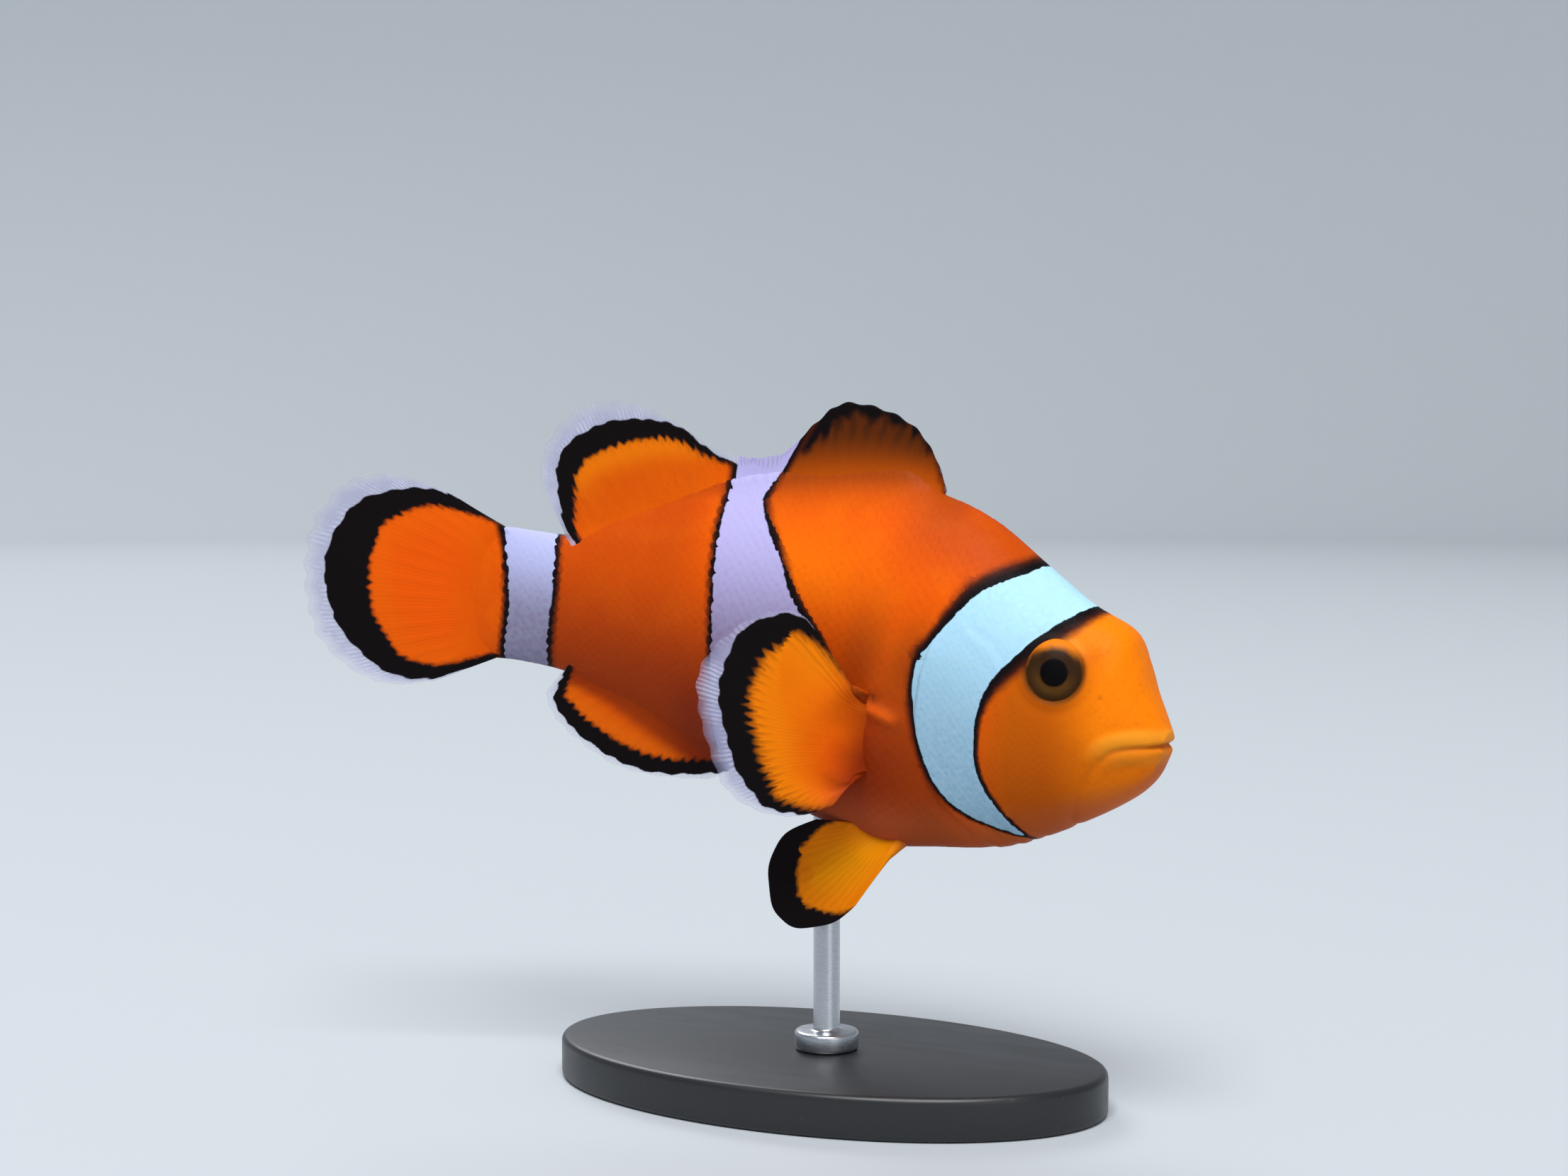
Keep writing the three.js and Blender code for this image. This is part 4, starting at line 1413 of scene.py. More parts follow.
def put_uv(piece: Piece, uv: Array) -> None:
    """Gives a mesh one unwrap, named OFBake, from one place for each corner."""
    for old in list(piece.data.uv_layers):
        piece.data.uv_layers.remove(old)
    layer = piece.data.uv_layers.new(name="OFBake")
    layer.data.foreach_set("uv", np.ascontiguousarray(uv, np.float32).ravel())


def corners_of(piece: Piece) -> Array:
    """The vertex at each corner of each face."""
    found = np.empty(len(piece.data.loops), np.int64)
    piece.data.loops.foreach_get("vertex_index", found)
    return found


def outwards(piece: Piece) -> None:
    """Turns all faces to point out, and shades them smooth."""
    with editing(piece, "SELECT"):
        bpy.ops.mesh.normals_make_consistent(inside=False)
    bpy.ops.object.shade_smooth()


def with_modifier(piece: Piece, kind: str, **settings: object) -> None:
    """Adds one modifier and applies it."""
    only(piece)
    made = piece.modifiers.new(kind.title(), kind)
    for name, value in settings.items():
        setattr(made, name, value)
    bpy.ops.object.modifier_apply(modifier=made.name)


def dressed(piece: Piece, material: Material, slot: str, *nodes: str) -> None:
    """Gives a piece its material and its place in the model.

    Args:
        piece: the finished piece.
        material: what it is made of.
        slot: the record's material slot; not used.
        nodes: the CAD nodes that it stands for.
    """
    piece.data.materials.clear()
    piece.data.materials.append(material)
    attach(piece, BODY)
    if nodes:
        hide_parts(*nodes)
    log.info("%s: %d faces", piece.name, len(piece.data.polygons))


# ---- the body


@dataclass
class Skin:
    """One unbroken skin over head, jaw, gill covers, trunk and tail stem."""

    hide: Hide
    nodes: tuple[str, ...] = (
        "head", "lower_jaw", "gill_cover_right", "gill_cover_left", "trunk", "tail_stem",
    )

    def build(self) -> Piece:
        """Shapes a ball into the skin: its rings become the rows of the hide."""
        rows, half = len(self.hide.grid), self.hide.half_columns
        rings, segments = rows - 1, 2 * half
        piece, polar, turn = ball("skin", segments, rings)
        row = np.rint(polar / math.pi * rings).astype(int)
        turn = np.rint(turn / (2 * math.pi) * segments).astype(int) % segments
        left = turn > half
        column = np.where(left, segments - turn, turn)
        body = self.hide.grid[row, column] * np.where(left, -1.0, 1.0)[:, None] ** [0, 0, 1]
        put_points(piece, self.hide.pose.to_frame(body))
        put_fields(piece, {name: values[row, column] for name, values in self.hide.fields.items()})
        self.unwrap(piece, row / rings, turn / segments)
        outwards(piece)
        return piece

    def unwrap(self, piece: Piece, along: Array, around: Array) -> None:
        """Lays the skin out flat, cut along the back."""
        corner = corners_of(piece)
        u, v = along[corner], around[corner]
        polygons = piece.data.polygons
        faces = np.repeat(np.arange(len(polygons)), [p.loop_total for p in polygons])
        high = np.zeros(len(polygons))
        np.maximum.at(high, faces, v)
        v = np.where((high[faces] > 0.75) & (v < 0.25), v + 1.0, v)
        put_uv(piece, np.stack([0.01 + 0.98 * u, 0.01 + 0.98 * v], -1))

    def dress(self, piece: Piece, material: Material) -> None:
        """Puts the finished skin in the model."""
        dressed(piece, material, "skin", *self.nodes)


@dataclass(frozen=True)
class ScaleBed:
    """A stretch of hide with scales of one size.

    pitch and rows are the lengths between columns and between rows, lift is how far a scale stands
    out, and hold is how far it keeps to one side of a band's edge.
    """

    start: float
    end: float
    pitch: float
    rows: float
    lift: float
    hold: float


@dataclass
class ScaleCoat:
    """The overlapping scales of one flank.

    profile gives (back, half-width, rise) along a scale, in shares of the pitch, the row gap and
    the lift. rounding is what its corners lack of back and of rise. sizes are shares of a full
    scale at ways back along the flank. turned and moved are the spread of the scales' random turns
    and places.
    """

    hide: Hide
    side: Side
    trunk: ScaleBed = ScaleBed(17.0, 72.0, 0.62, 1.2, 0.034, 0.4)
    head: ScaleBed = ScaleBed(8.0, 23.5, 0.42, 0.8, 0.02, 0.12)
    profile: Path = (
        (-0.75, 0.34, -0.8), (0.0, 0.58, 0.3), (0.62, 0.58, 0.9), (1.0, 0.4, 1.05),
        (1.2, 0.2, 0.45),
    )
    rounding: Pair = (0.1, 0.3)
    sizes: Path = ((20.0, 1.0), (40.0, 0.97), (70.0, 0.74))
    across: int = 4
    overlap: float = 1.5
    keel_place: float = 0.3
    keel_depth: float = 0.3
    turned: float = 0.05
    moved: float = 0.035
    closed_gill: Ramp = (7.5, 10.0)
    trunk_gap: float = 0.8
    trunk_end: float = 66.6
    head_gap: float = 0.95
    eye_gap: float = 3.4
    bare_ease: Ramp = (0.0, 2.5)
    patch: float = 0.003

    def roots(self, sampler: HideSampler, bed: ScaleBed) -> Array:
        """The middles of a bed's scales, in staggered columns.

        Args:
            sampler: reads the hide.
            bed: the stretch to cover.

        Returns:
            Rows of (x, w, size), size being the share of a full scale.
        """
        found = []
        x, column = bed.start, 0
        while x < bed.end:
            girth = float(np.interp(x, sampler.x, sampler.girth))
            size = float(np.interp(x, *zip(*self.sizes)))
            gap = bed.rows * size
            count = int(girth / 2 / gap) + 1
            w = (np.arange(-count, count + 1) + 0.5 * (column % 2)) * gap
            w = w[np.abs(w) < girth / 2]
            found.append(np.stack([np.full(len(w), x), w, np.full(len(w), size)], -1))
            x += bed.pitch * size
            column += 1
        return np.concatenate(found)

    def kept(self, roots: Array, body: Array, head: bool) -> Array:
        """The roots that lie in their bed, with their sizes eased towards the bare face."""
        s, u = body[:, 0], body[:, 1]
        behind = GILL_OPENING.measure(s, u)[0]
        around, _ = self.hide.relief.eye.local(body)
        shut = smooth(u, *self.closed_gill)
        if not head:
            return roots[(behind > self.trunk_gap - shut) & (s < self.trunk_end)]
        inside = BARE_FACE.measure(s, u)[0]
        ok = (behind < -self.head_gap + 0.9 * shut) & (inside > 0) & (around > self.eye_gap)
        roots = roots.copy()
        roots[:, 2] *= 0.7 + 0.3 * smooth(inside, *self.bare_ease)
        return roots[ok]

    def plate(self, bed: ScaleBed) -> Array:
        """One scale, lying flat with its free edge towards the tail.

        Args:
            bed: gives the lift that the depth of the keel is measured in.

        Returns:
            Rows of (back, up, out) in shares of the pitch, the row gap and the lift. The last one
            is the bottom of its keel, sunk in the hide.
        """
        back, half_width, rise = np.array(self.profile).T[..., None]
        side = np.linspace(-1, 1, self.across + 1)[None]
        less_back, less_rise = self.rounding
        top = np.stack(np.broadcast_arrays(
            back - less_back * side**2, half_width * side, rise - less_rise * side**4,
        ), -1)
        keel = [self.keel_place, 0.0, -self.keel_depth / bed.lift]
        return np.vstack([top.reshape(-1, 3), keel])

    def faces(self) -> Array:
        """The four corners of each face of one scale's upper side."""
        n = self.across + 1
        i, j = np.meshgrid(np.arange(len(self.profile) - 1), np.arange(self.across), indexing="ij")
        first = (i * n + j).ravel()
        return np.stack([first, first + n, first + n + 1, first + 1], -1)

    def rim(self) -> Array:
        """The rim of one scale's upper side, in order."""
        n, m = self.across + 1, len(self.profile)
        run = list(range(n)) + [i * n + n - 1 for i in range(1, m)]
        run += [(m - 1) * n + j for j in range(n - 2, -1, -1)]
        return np.array(run + [i * n for i in range(m - 2, 0, -1)])

    def build(self) -> Piece:
        """Lays every scale of the flank on the hide and joins them in one mesh."""
        sampler = HideSampler(self.hide)
        rng = np.random.default_rng(7)
        points, marks, homes = [], [], []
        for bed, is_head in ((self.head, True), (self.trunk, False)):
            roots = self.roots(sampler, bed)
            roots = self.kept(roots, sampler.surface(roots[:, 0], roots[:, 1])[0], is_head)
            top = self.plate(bed)
            turn = rng.normal(0, self.turned, len(roots))[:, None]
            jog = rng.normal(0, self.moved, (len(roots), 2))
            size = roots[:, 2:3]
            along, up = top[None, :, 0] * bed.pitch * self.overlap, top[None, :, 1] * bed.rows
            x = roots[:, 0:1] + jog[:, 0:1] + size * (along - up * turn)
            w = roots[:, 1:2] + jog[:, 1:2] + size * (up + along * turn)
            place, normal = sampler.surface(x, w)
            out = top[None, :, 2] * bed.lift * size
            points.append(place + normal * out[..., None])
            here = sampler.marks(x, w)
            root = sampler.marks(roots[:, 0:1], roots[:, 1:2])
            here["band"] = here["band"] * (1 - bed.hold) + root["band"] * bed.hold
            marks.append(here)
            homes.append(roots[:, :2])
        body = np.concatenate(points)
        count, each = body.shape[:2]
        flat = body.reshape(-1, 3)
        flat[:, 2] *= self.side.value
        piece = self.joined(self.hide.pose.to_frame(flat), count, each)
        put_fields(piece, {
            name: np.concatenate([m[name] for m in marks]).ravel() for name in sampler.field_names
        })
        self.unwrap(piece, np.concatenate(homes), sampler)
        outwards(piece)
        self.crease_rims(piece, each)
        return piece

    def crease_rims(self, piece: Piece, each: int) -> None:
        """Marks the rim of every scale as a sharp edge, so that its upper side shades as one."""
        ends = np.empty(len(piece.data.edges) * 2, np.int64)
        piece.data.edges.foreach_get("vertices", ends)
        on_rim = np.isin(ends % each, self.rim()).reshape(-1, 2).all(1)
        piece.data.edges.foreach_set("use_edge_sharp", on_rim)

    def joined(self, points: Array, count: int, each: int) -> Piece:
        """One mesh of many closed scales.

        Args:
            points: the corners of all the scales, in the frame.
            count: how many scales there are.
            each: how many corners each one has.

        Returns:
            The piece.
        """
        start = (np.arange(count) * each)[:, None, None]
        quads = (self.faces()[None] + start).reshape(-1, 4)
        rim = self.rim()
        keel = np.full_like(rim, each - 1)
        fan = np.stack([np.roll(rim, -1), rim, keel], -1)
        fans = (fan[None] + start).reshape(-1, 3)
        mesh = bpy.data.meshes.new(f"scales_{self.side.name.lower()}")
        mesh.from_pydata(points.tolist(), [], quads.tolist() + fans.tolist())
        piece = bpy.data.objects.new(mesh.name, mesh)
        bpy.context.scene.collection.objects.link(piece)
        return piece

    def unwrap(self, piece: Piece, homes: Array, sampler: HideSampler) -> None:
        """Gives each scale a small patch of its own, at its root's place on the flank laid flat."""
        girth = sampler.girth.max()
        u = 0.02 + 0.96 * homes[:, 0] / sampler.x[-1]
        v = 0.5 + 0.96 * homes[:, 1] / girth
        top = self.plate(self.trunk)
        patch = top[:, :2] / np.abs(top[:, :2]).max(0) * self.patch / 2
        uv = (np.stack([u, v], -1)[:, None] + patch[None]).reshape(-1, 2)
        put_uv(piece, uv[corners_of(piece)])

    def dress(self, piece: Piece, material: Material) -> None:
        """Puts the finished scales in the model."""
        dressed(piece, material, "skin")


@dataclass
class EyePair:
    """Both eyes: an eyeball with its iris set back under a clear dome.

    ball gives (share of the way from front to back, distance from the axis, height) of the
    eyeball. behind is added to the radius that the iris reads on its hidden back half.
    """

    pose: SwimPose
    eye: Eye = Eye()
    ball: Path = (
        (0.0, 0.0, 1.4), (0.1, 0.6, 1.35), (0.2, 1.18, 1.2), (0.22, 1.24, 1.13), (0.36, 2.15, 0.97),
        (0.43, 2.6, 0.74), (0.5, 2.95, 0.3), (0.75, 1.9, -1.1), (1.0, 0.0, -1.5),
    )
    dome_margin: float = 0.28
    behind: float = 9.0
    low_side: Ramp = (0.35, -0.75)
    lid_angle: float = 1.62
    lid_side: Ramp = (0.45, 1.0)
    segments: int = 64
    rings: int = 48

    def ball_profile(self, polar: Array) -> Arrays:
        """Distance from the axis and height of the eyeball, by the angle from its front."""
        stops, around, high = zip(*self.ball)
        share = polar / math.pi
        return np.interp(share, stops, around), np.interp(share, stops, high)

    def dome_profile(self, polar: Array) -> Arrays:
        """Distance from the axis and height of the clear dome."""
        radius = self.eye.radius + self.dome_margin
        return radius * np.sin(polar), self.eye.depth * np.cos(polar)

    def build(self, name: str, side: Side, profile: Callable) -> Piece:
        """Shapes a ball to a profile about the eye's axis.

        Args:
            name: the piece's name.
            side: which eye.
            profile: gives distance from the axis and height for an angle from the front.

        Returns:
            The closed piece.
        """
        piece, polar, turn = ball(name, self.segments, self.rings)
        around, high = profile(polar)
        forward, up, outward = self.eye.axes()
        spread = np.cos(turn)[:, None] * forward + np.sin(turn)[:, None] * up
        middle = np.array([self.eye.s, self.eye.u, self.eye.v])
        body = middle + around[:, None] * spread + high[:, None] * outward
        body[:, 2] *= side.value
        put_points(piece, self.pose.to_frame(body))
        put_fields(piece, {
            "radius": around + self.behind * (high < 0),
            "low": smooth(np.sin(turn), *self.low_side),
            "lid": smooth(np.cos(turn - self.lid_angle), *self.lid_side),
        })
        outwards(piece)
        return piece

    def assemble(self, iris: Material, cornea: Material) -> None:
        """Builds and dresses both eyes."""
        for side in Side:
            label = side.name.lower()
            ball = self.build(f"eyeball_{label}", side, self.ball_profile)
            dressed(ball, iris, "eye", f"eye_{label}")
            dome = self.build(f"cornea_{label}", side, self.dome_profile)
            dressed(dome, cornea, "eye")


# ---- fins


@dataclass(frozen=True)
class FinShape:
    """A fan of rays from a base line to a margin, both as (s, u).

    ink is the outer edge of the black margin, as (s, u, width of the black), and inked_side is -1
    where it runs the other way round the fin. deepen is the share of the fin that goes on into the
    body. sway leans the fin out from sway_from back. A paired fin starts at root_breadth from the
    middle, tucked in at its root by tuck and root_fall, and spread is how far it stands out at its
    rear ray and how much more at its front ray. Near such a root the fin takes the hide's painted
    shade and darker tone, more on its lower rays, fading out over root_shade_reach. On the back the
    fin's root keeps only part of that painted shade and takes a painted highlight of strength
    painted_light instead. ridge is the depth between the rays, notch that of the margin between
    them, and ripple that of the web's waves. The web is root_thickness thick at its base and thins
    out by fleshy of its length; flare widens its foot up to flare_start.
    """

    name: str
    node: str
    base: Path
    margin: Path
    rays: int
    ink: Path
    bands: tuple[Band, ...] = ()
    ridge: float = 0.12
    end_thickness: float = 1.0
    notch: float = 0.02
    branches: bool = True
    sway_from: float = 0.0
    sway: float = 0.0
    root_breadth: float = 0.0
    # Reach of a paired fin's painted root shade, and strength of a dorsal fin's painted highlight.
    root_shade_reach: float = 3.2
    painted_light: float = 0.0
    tuck: float = 0.0
    root_fall: float = 0.0
    spread: Pair = (0.0, 0.0)
    ripple: float = 0.15
    side: Side = Side.RIGHT
    inked_side: float = 1.0
    deepen: float = 0.05
    tooth: float = 0.5
    root_thickness: float = 0.85
    fleshy: float = 0.8
    flare: float = 1.1
    flare_start: float = 0.9

    def length(self, across: Array) -> Array:
        """How long the web is at places across it."""
        return np.linalg.norm(spline(self.margin, across) - spline(self.base, across), axis=-1)

    def place(self, across: Array, out: Array) -> Array:
        """Points of the web's middle sheet.

        Args:
            across: places across the rays, from 0 to 1.
            out: places along them, from just under 0, inside the body, to 1 at the margin.

        Returns:
            Points (s, u, v).
        """
        base, margin = spline(self.base, across), spline(self.margin, across)
        between = 0.5 - 0.5 * np.cos(2 * math.pi * self.rays * across)
        reach = out * (1 - self.notch * between * np.maximum(out, 0) ** 2)
        flat = base + (margin - base) * reach[..., None]
        lean = self.sway * np.maximum(0, flat[..., 0] - self.sway_from)
        trail, splay = self.spread
        fanned = np.maximum(out, 0) * (trail + splay * (1 - across))
        tucked = self.tuck * smooth(out, 0.3, 0.0)
        tucked = tucked + self.root_fall * across**2 * smooth(out, 0.7, 0.0)
        wave = np.sin(2 * math.pi * (1.6 * across + 0.6 * out)) * np.sin(math.pi * across)
        rippled = self.ripple * wave * np.maximum(out, 0) ** 2
        v = self.root_breadth + lean + fanned - tucked + rippled
        return np.concatenate([flat, v[..., None] * self.side.value], -1)


@dataclass
class Fin:
    """Builds one fin as a thin solid with low, branching rays."""

    shape: FinShape
    pose: SwimPose
    markings: Markings
    steps_per_ray: int = 10
    steps_out: int = 44
    edge_thickness: float = 0.16
    ray_width: float = 0.2
    parting: float = 0.25
    parting_out: Ramp = (0.35, 1.0)
    flare_fade: float = 1.1
    end_rays: Ramp = (0.06, 0.0)
    # The lower rays of a paired fin take more painted shade at the root.
    low_rays: Ramp = (0.45, 0.9)
    inner_rays: Ramp = (0.05, 0.25)
    # The share of painted shade that a dorsal fin's root keeps under its painted highlight.
    shade_kept_when_lit: float = 0.6

    def ridges(self, ray: Array, out: Array) -> Array:
        """1 on the rays and 0 between them; soft rays part in two on their way out."""
        off = ray - np.rint(ray)
        if self.shape.branches:
            parting = self.parting * smooth(out, *self.parting_out)
            width = self.ray_width - 0.09 * smooth(out, 0.2, 0.8)
        else:
            parting, width = np.zeros_like(out), self.ray_width - 0.08 * out
        one = np.exp(-(((off - parting) / width) ** 2))
        other = np.exp(-(((off + parting) / width) ** 2))
        return np.clip(np.maximum(one, other), 0, 1)

    def thickness(self, across: Array, out: Array) -> Array:
        """Thickness of the web in millimetres, spreading into the body at its root."""
        shape = self.shape
        flesh = smooth(out, shape.fleshy, 0.0)
        web = self.edge_thickness + (shape.root_thickness - self.edge_thickness) * flesh
        relief = shape.ridge * smooth(out, 0.15, 0.45)
        ridged = 1 - relief + relief * self.ridges(across * shape.rays, out)
        at_end = smooth(np.minimum(across, 1 - across), *self.end_rays)
        ridged = ridged * (1 - (1 - shape.end_thickness) * at_end)
        above = np.maximum(0, out * shape.length(across) - shape.flare_start)
        return web * ridged + shape.flare * np.exp(-above / self.flare_fade)

    def marks(self, body: Array, across: Array, out: Array) -> Fields:
        """The fields that the fin's material reads.

        Args:
            body: places of the web's middle sheet.
            across: places across the rays.
            out: places along them.

        Returns:
            The fields by name.
        """
        shape = self.shape
        fields = Markings(shape.bands, self.markings.eye).fields(body)
        rise = out * shape.length(across)
        if shape.root_breadth:
            # The root takes the hide's painted shade, more on its lower rays, fading out along
            # them.
            low = smooth(across, *self.low_rays)
            reach = shape.root_shade_reach * (1 + 0.5 * low)
            fields["deep"] = (fields["deep"] + 0.3 * low) * smooth(rise / reach, 1.0, 0.0)
            fields["pit"] = np.zeros(len(body))
        elif shape.painted_light:
            # A dorsal fin's root keeps less painted shade and takes an even painted highlight.
            fields["deep"] = fields["deep"] * self.shade_kept_when_lit
            fields["glow"] = np.full(len(body), shape.painted_light)
        inset, width = Line(shape.ink).measure(body[:, 0], body[:, 1])
        inner = smooth(np.minimum(across, 1 - across), *self.inner_rays)
        return fields | {
            "ray": across * shape.rays,
            "rise": rise,
            "tip": (1 - out) * shape.length(across),
            "inset": inset * shape.inked_side,
            "ink": np.maximum(width[:, 0], 0),
            "tooth": shape.tooth * (0.15 + 0.85 * inner),
            "inner": inner,
        }

    def build(self) -> Piece:
        """Shapes a grid into the fin and gives it its thickness."""
        shape = self.shape
        piece = added(
            bpy.ops.mesh.primitive_grid_add, shape.name,
            x_subdivisions=shape.rays * self.steps_per_ray, y_subdivisions=self.steps_out, size=1.0,
        )
        flat = points_of(piece)
        across = flat[:, 0] + 0.5
        out = (flat[:, 1] + 0.5) * (1 + shape.deepen) - shape.deepen
        body = shape.place(across, out)
        put_fields(piece, self.marks(body, across, out))
        put_points(piece, self.pose.to_frame(body))
        thick = self.thickness(across, out)
        most = float(thick.max())
        weights = piece.vertex_groups.new(name="thickness")
        for index, share in enumerate(thick / most):
            weights.add([index], float(share), "REPLACE")
        with_modifier(
            piece, "SOLIDIFY",
            thickness=most * MM, offset=0.0, vertex_group="thickness", use_rim=True,
        )
        piece.vertex_groups.clear()
        outwards(piece)
        return piece

    def dress(self, piece: Piece, material: Material) -> None:
        """Puts the finished fin in the model."""
        dressed(piece, material, "fin", self.shape.node)


SPINY_DORSAL = FinShape(
    name="spiny_dorsal", node="dorsal_fin_spiny", rays=11, notch=0.022, branches=False, ripple=0.1,
    bands=(MIDDLE_BAND,), ridge=0.2, end_thickness=0.45, painted_light=0.6,
    base=((25.2, 15.5), (31.0, 15.5), (37.5, 14.4), (43.8, 12.1)),
    margin=(
        (24.6, 18.0), (26.2, 20.8), (28.7, 23.2), (32.3, 24.3), (36.1, 24.1), (38.5, 21.8),
        (41.0, 18.7), (44.2, 17.6),
    ),
    ink=(
        (24.4, 17.6, 0.2), (26.1, 20.9, 0.4), (28.5, 23.3, 0.7), (32.3, 24.5, 1.3),
        (36.3, 24.3, 1.7), (38.7, 22.0, 1.9), (40.3, 19.8, 1.4), (41.3, 18.8, 0.6),
        (42.5, 18.5, 0.1),
    ),
    inked_side=-1.0,
)
SOFT_DORSAL = FinShape(
    name="soft_dorsal", node="dorsal_fin_soft", rays=15, sway_from=50.0, sway=0.04,
    bands=(MIDDLE_BAND,), tooth=0.3, end_thickness=0.45, painted_light=0.3,
    base=((43.5, 12.3), (49.0, 10.4), (55.0, 7.9), (60.4, 5.4)),
    margin=(
        (43.9, 17.6), (48.0, 17.8), (53.0, 19.9), (57.2, 20.8), (61.6, 19.6), (64.5, 16.0),
        (64.6, 12.0), (62.0, 8.2),
    ),
    ink=(
        (45.3, 16.6, 0.35), (48.6, 17.6, 0.7), (51.8, 19.2, 1.3), (55.1, 19.4, 1.9),
        (58.9, 18.5, 2.4), (62.1, 16.3, 2.4), (63.2, 14.0, 2.3), (63.1, 12.4, 2.0),
        (62.4, 10.0, 1.6), (61.5, 7.8, 1.1), (60.1, 6.6, 0.7),
    ),
    inked_side=-1.0,
)
ANAL = FinShape(
    name="anal_fin_web", node="anal_fin", rays=13, sway_from=45.0, sway=0.03, tooth=0.25,
    bands=(MIDDLE_BAND,),
    base=((41.2, -10.4), (46.0, -8.2), (52.0, -6.0), (58.6, -4.6)),
    margin=(
        (41.0, -11.4), (43.4, -13.2), (48.0, -14.0), (52.6, -14.0), (57.0, -12.4), (60.0, -10.4),
        (61.0, -8.2), (59.8, -6.2),
    ),
    ink=(
        (41.4, -12.0, 0.9), (43.2, -12.6, 1.3), (48.1, -13.7, 1.5), (52.4, -13.5, 1.7),
        (57.1, -11.7, 1.7), (59.7, -9.6, 1.5), (60.2, -8.4, 1.2), (59.6, -6.3, 0.8),
    ),
)
CAUDAL = FinShape(
    name="caudal_fin_web", node="caudal_fin", rays=16, sway_from=67.0, sway=0.03, ripple=0.3,
    tooth=0.25, root_thickness=1.0, flare=0.0, bands=(TAIL_BAND,), ridge=0.08,
    base=((66.8, 6.4), (67.4, 3.0), (67.6, 0.2), (67.4, -2.8), (66.6, -5.9)),
    margin=(
        (73.0, 8.9), (77.0, 9.9), (81.2, 9.8), (84.6, 8.0), (86.6, 4.2), (86.9, 0.2), (86.2, -3.6),
        (84.6, -7.0), (81.2, -9.5), (77.0, -10.4), (72.5, -9.3),
    ),
    ink=(
        (67.0, 7.2, 0.5), (72.5, 8.8, 1.2), (76.2, 9.2, 1.8), (80.2, 8.1, 2.8), (82.9, 6.3, 3.8),
        (84.6, 2.4, 4.3), (84.6, -1.1, 4.5), (82.9, -5.2, 3.9), (80.2, -7.7, 3.3),
        (77.1, -9.3, 2.3), (73.6, -9.3, 1.6), (70.7, -8.2, 1.1), (66.6, -6.1, 0.8),
    ),
    inked_side=-1.0,
)
PECTORAL_BASE = ((25.2, -2.0), (25.3, -3.8), (25.5, -5.8), (25.5, -7.8))
PECTORAL_MARGIN = (
    (30.0, 3.4), (32.2, 5.7), (35.4, 5.2), (38.6, 2.4), (40.2, -0.8), (39.7, -4.2), (38.3, -7.6),
    (36.4, -10.9), (33.2, -12.5), (29.8, -12.4), (27.0, -10.9),
)
PECTORAL_INK = (
    (24.4, -2.6, 0.0), (27.4, 0.9, 0.35), (29.8, 3.7, 0.8), (32.0, 5.4, 1.6), (33.7, 5.4, 2.6),
    (36.2, 4.1, 3.0), (37.3, 2.6, 3.0), (38.1, -0.7, 2.9), (37.9, -3.2, 2.7), (36.5, -6.9, 2.5),
    (35.4, -9.2, 2.3), (33.9, -10.8, 1.9), (32.3, -12.1, 1.3), (28.8, -12.0, 0.6),
    (26.2, -10.9, 0.3),
)
PELVIC_BASE = ((21.9, -13.2), (23.2, -13.3), (24.6, -13.3), (25.8, -13.1))
PELVIC_OPEN = (
    (24.4, -19.9), (26.6, -22.2), (30.2, -23.6), (32.8, -22.4), (34.1, -18.9), (33.2, -15.7),
    (30.4, -13.6),
)
PELVIC_OPEN_INK = (
    (24.0, -20.0, 0.1), (25.4, -21.6, 0.7), (26.8, -22.6, 1.3), (28.4, -23.4, 2.1),
    (30.2, -23.9, 2.8), (33.0, -22.6, 3.1), (34.3, -18.9, 3.1), (33.4, -15.6, 2.6),
    (32.2, -14.6, 1.9), (30.4, -13.4, 1.0),
)
PELVIC_FOLDED = (
    (27.4, -19.0), (29.6, -20.9), (32.4, -21.6), (34.6, -20.6), (35.4, -18.4), (34.2, -16.2),
    (31.2, -14.1),
)
PELVIC_FOLDED_INK = (
    (27.2, -19.2, 0.0), (28.8, -20.7, 0.4), (30.4, -21.5, 1.2), (32.4, -21.9, 2.2),
    (34.8, -20.7, 2.8), (35.6, -18.4, 2.8), (34.4, -16.1, 2.4), (31.2, -13.9, 1.5),
)


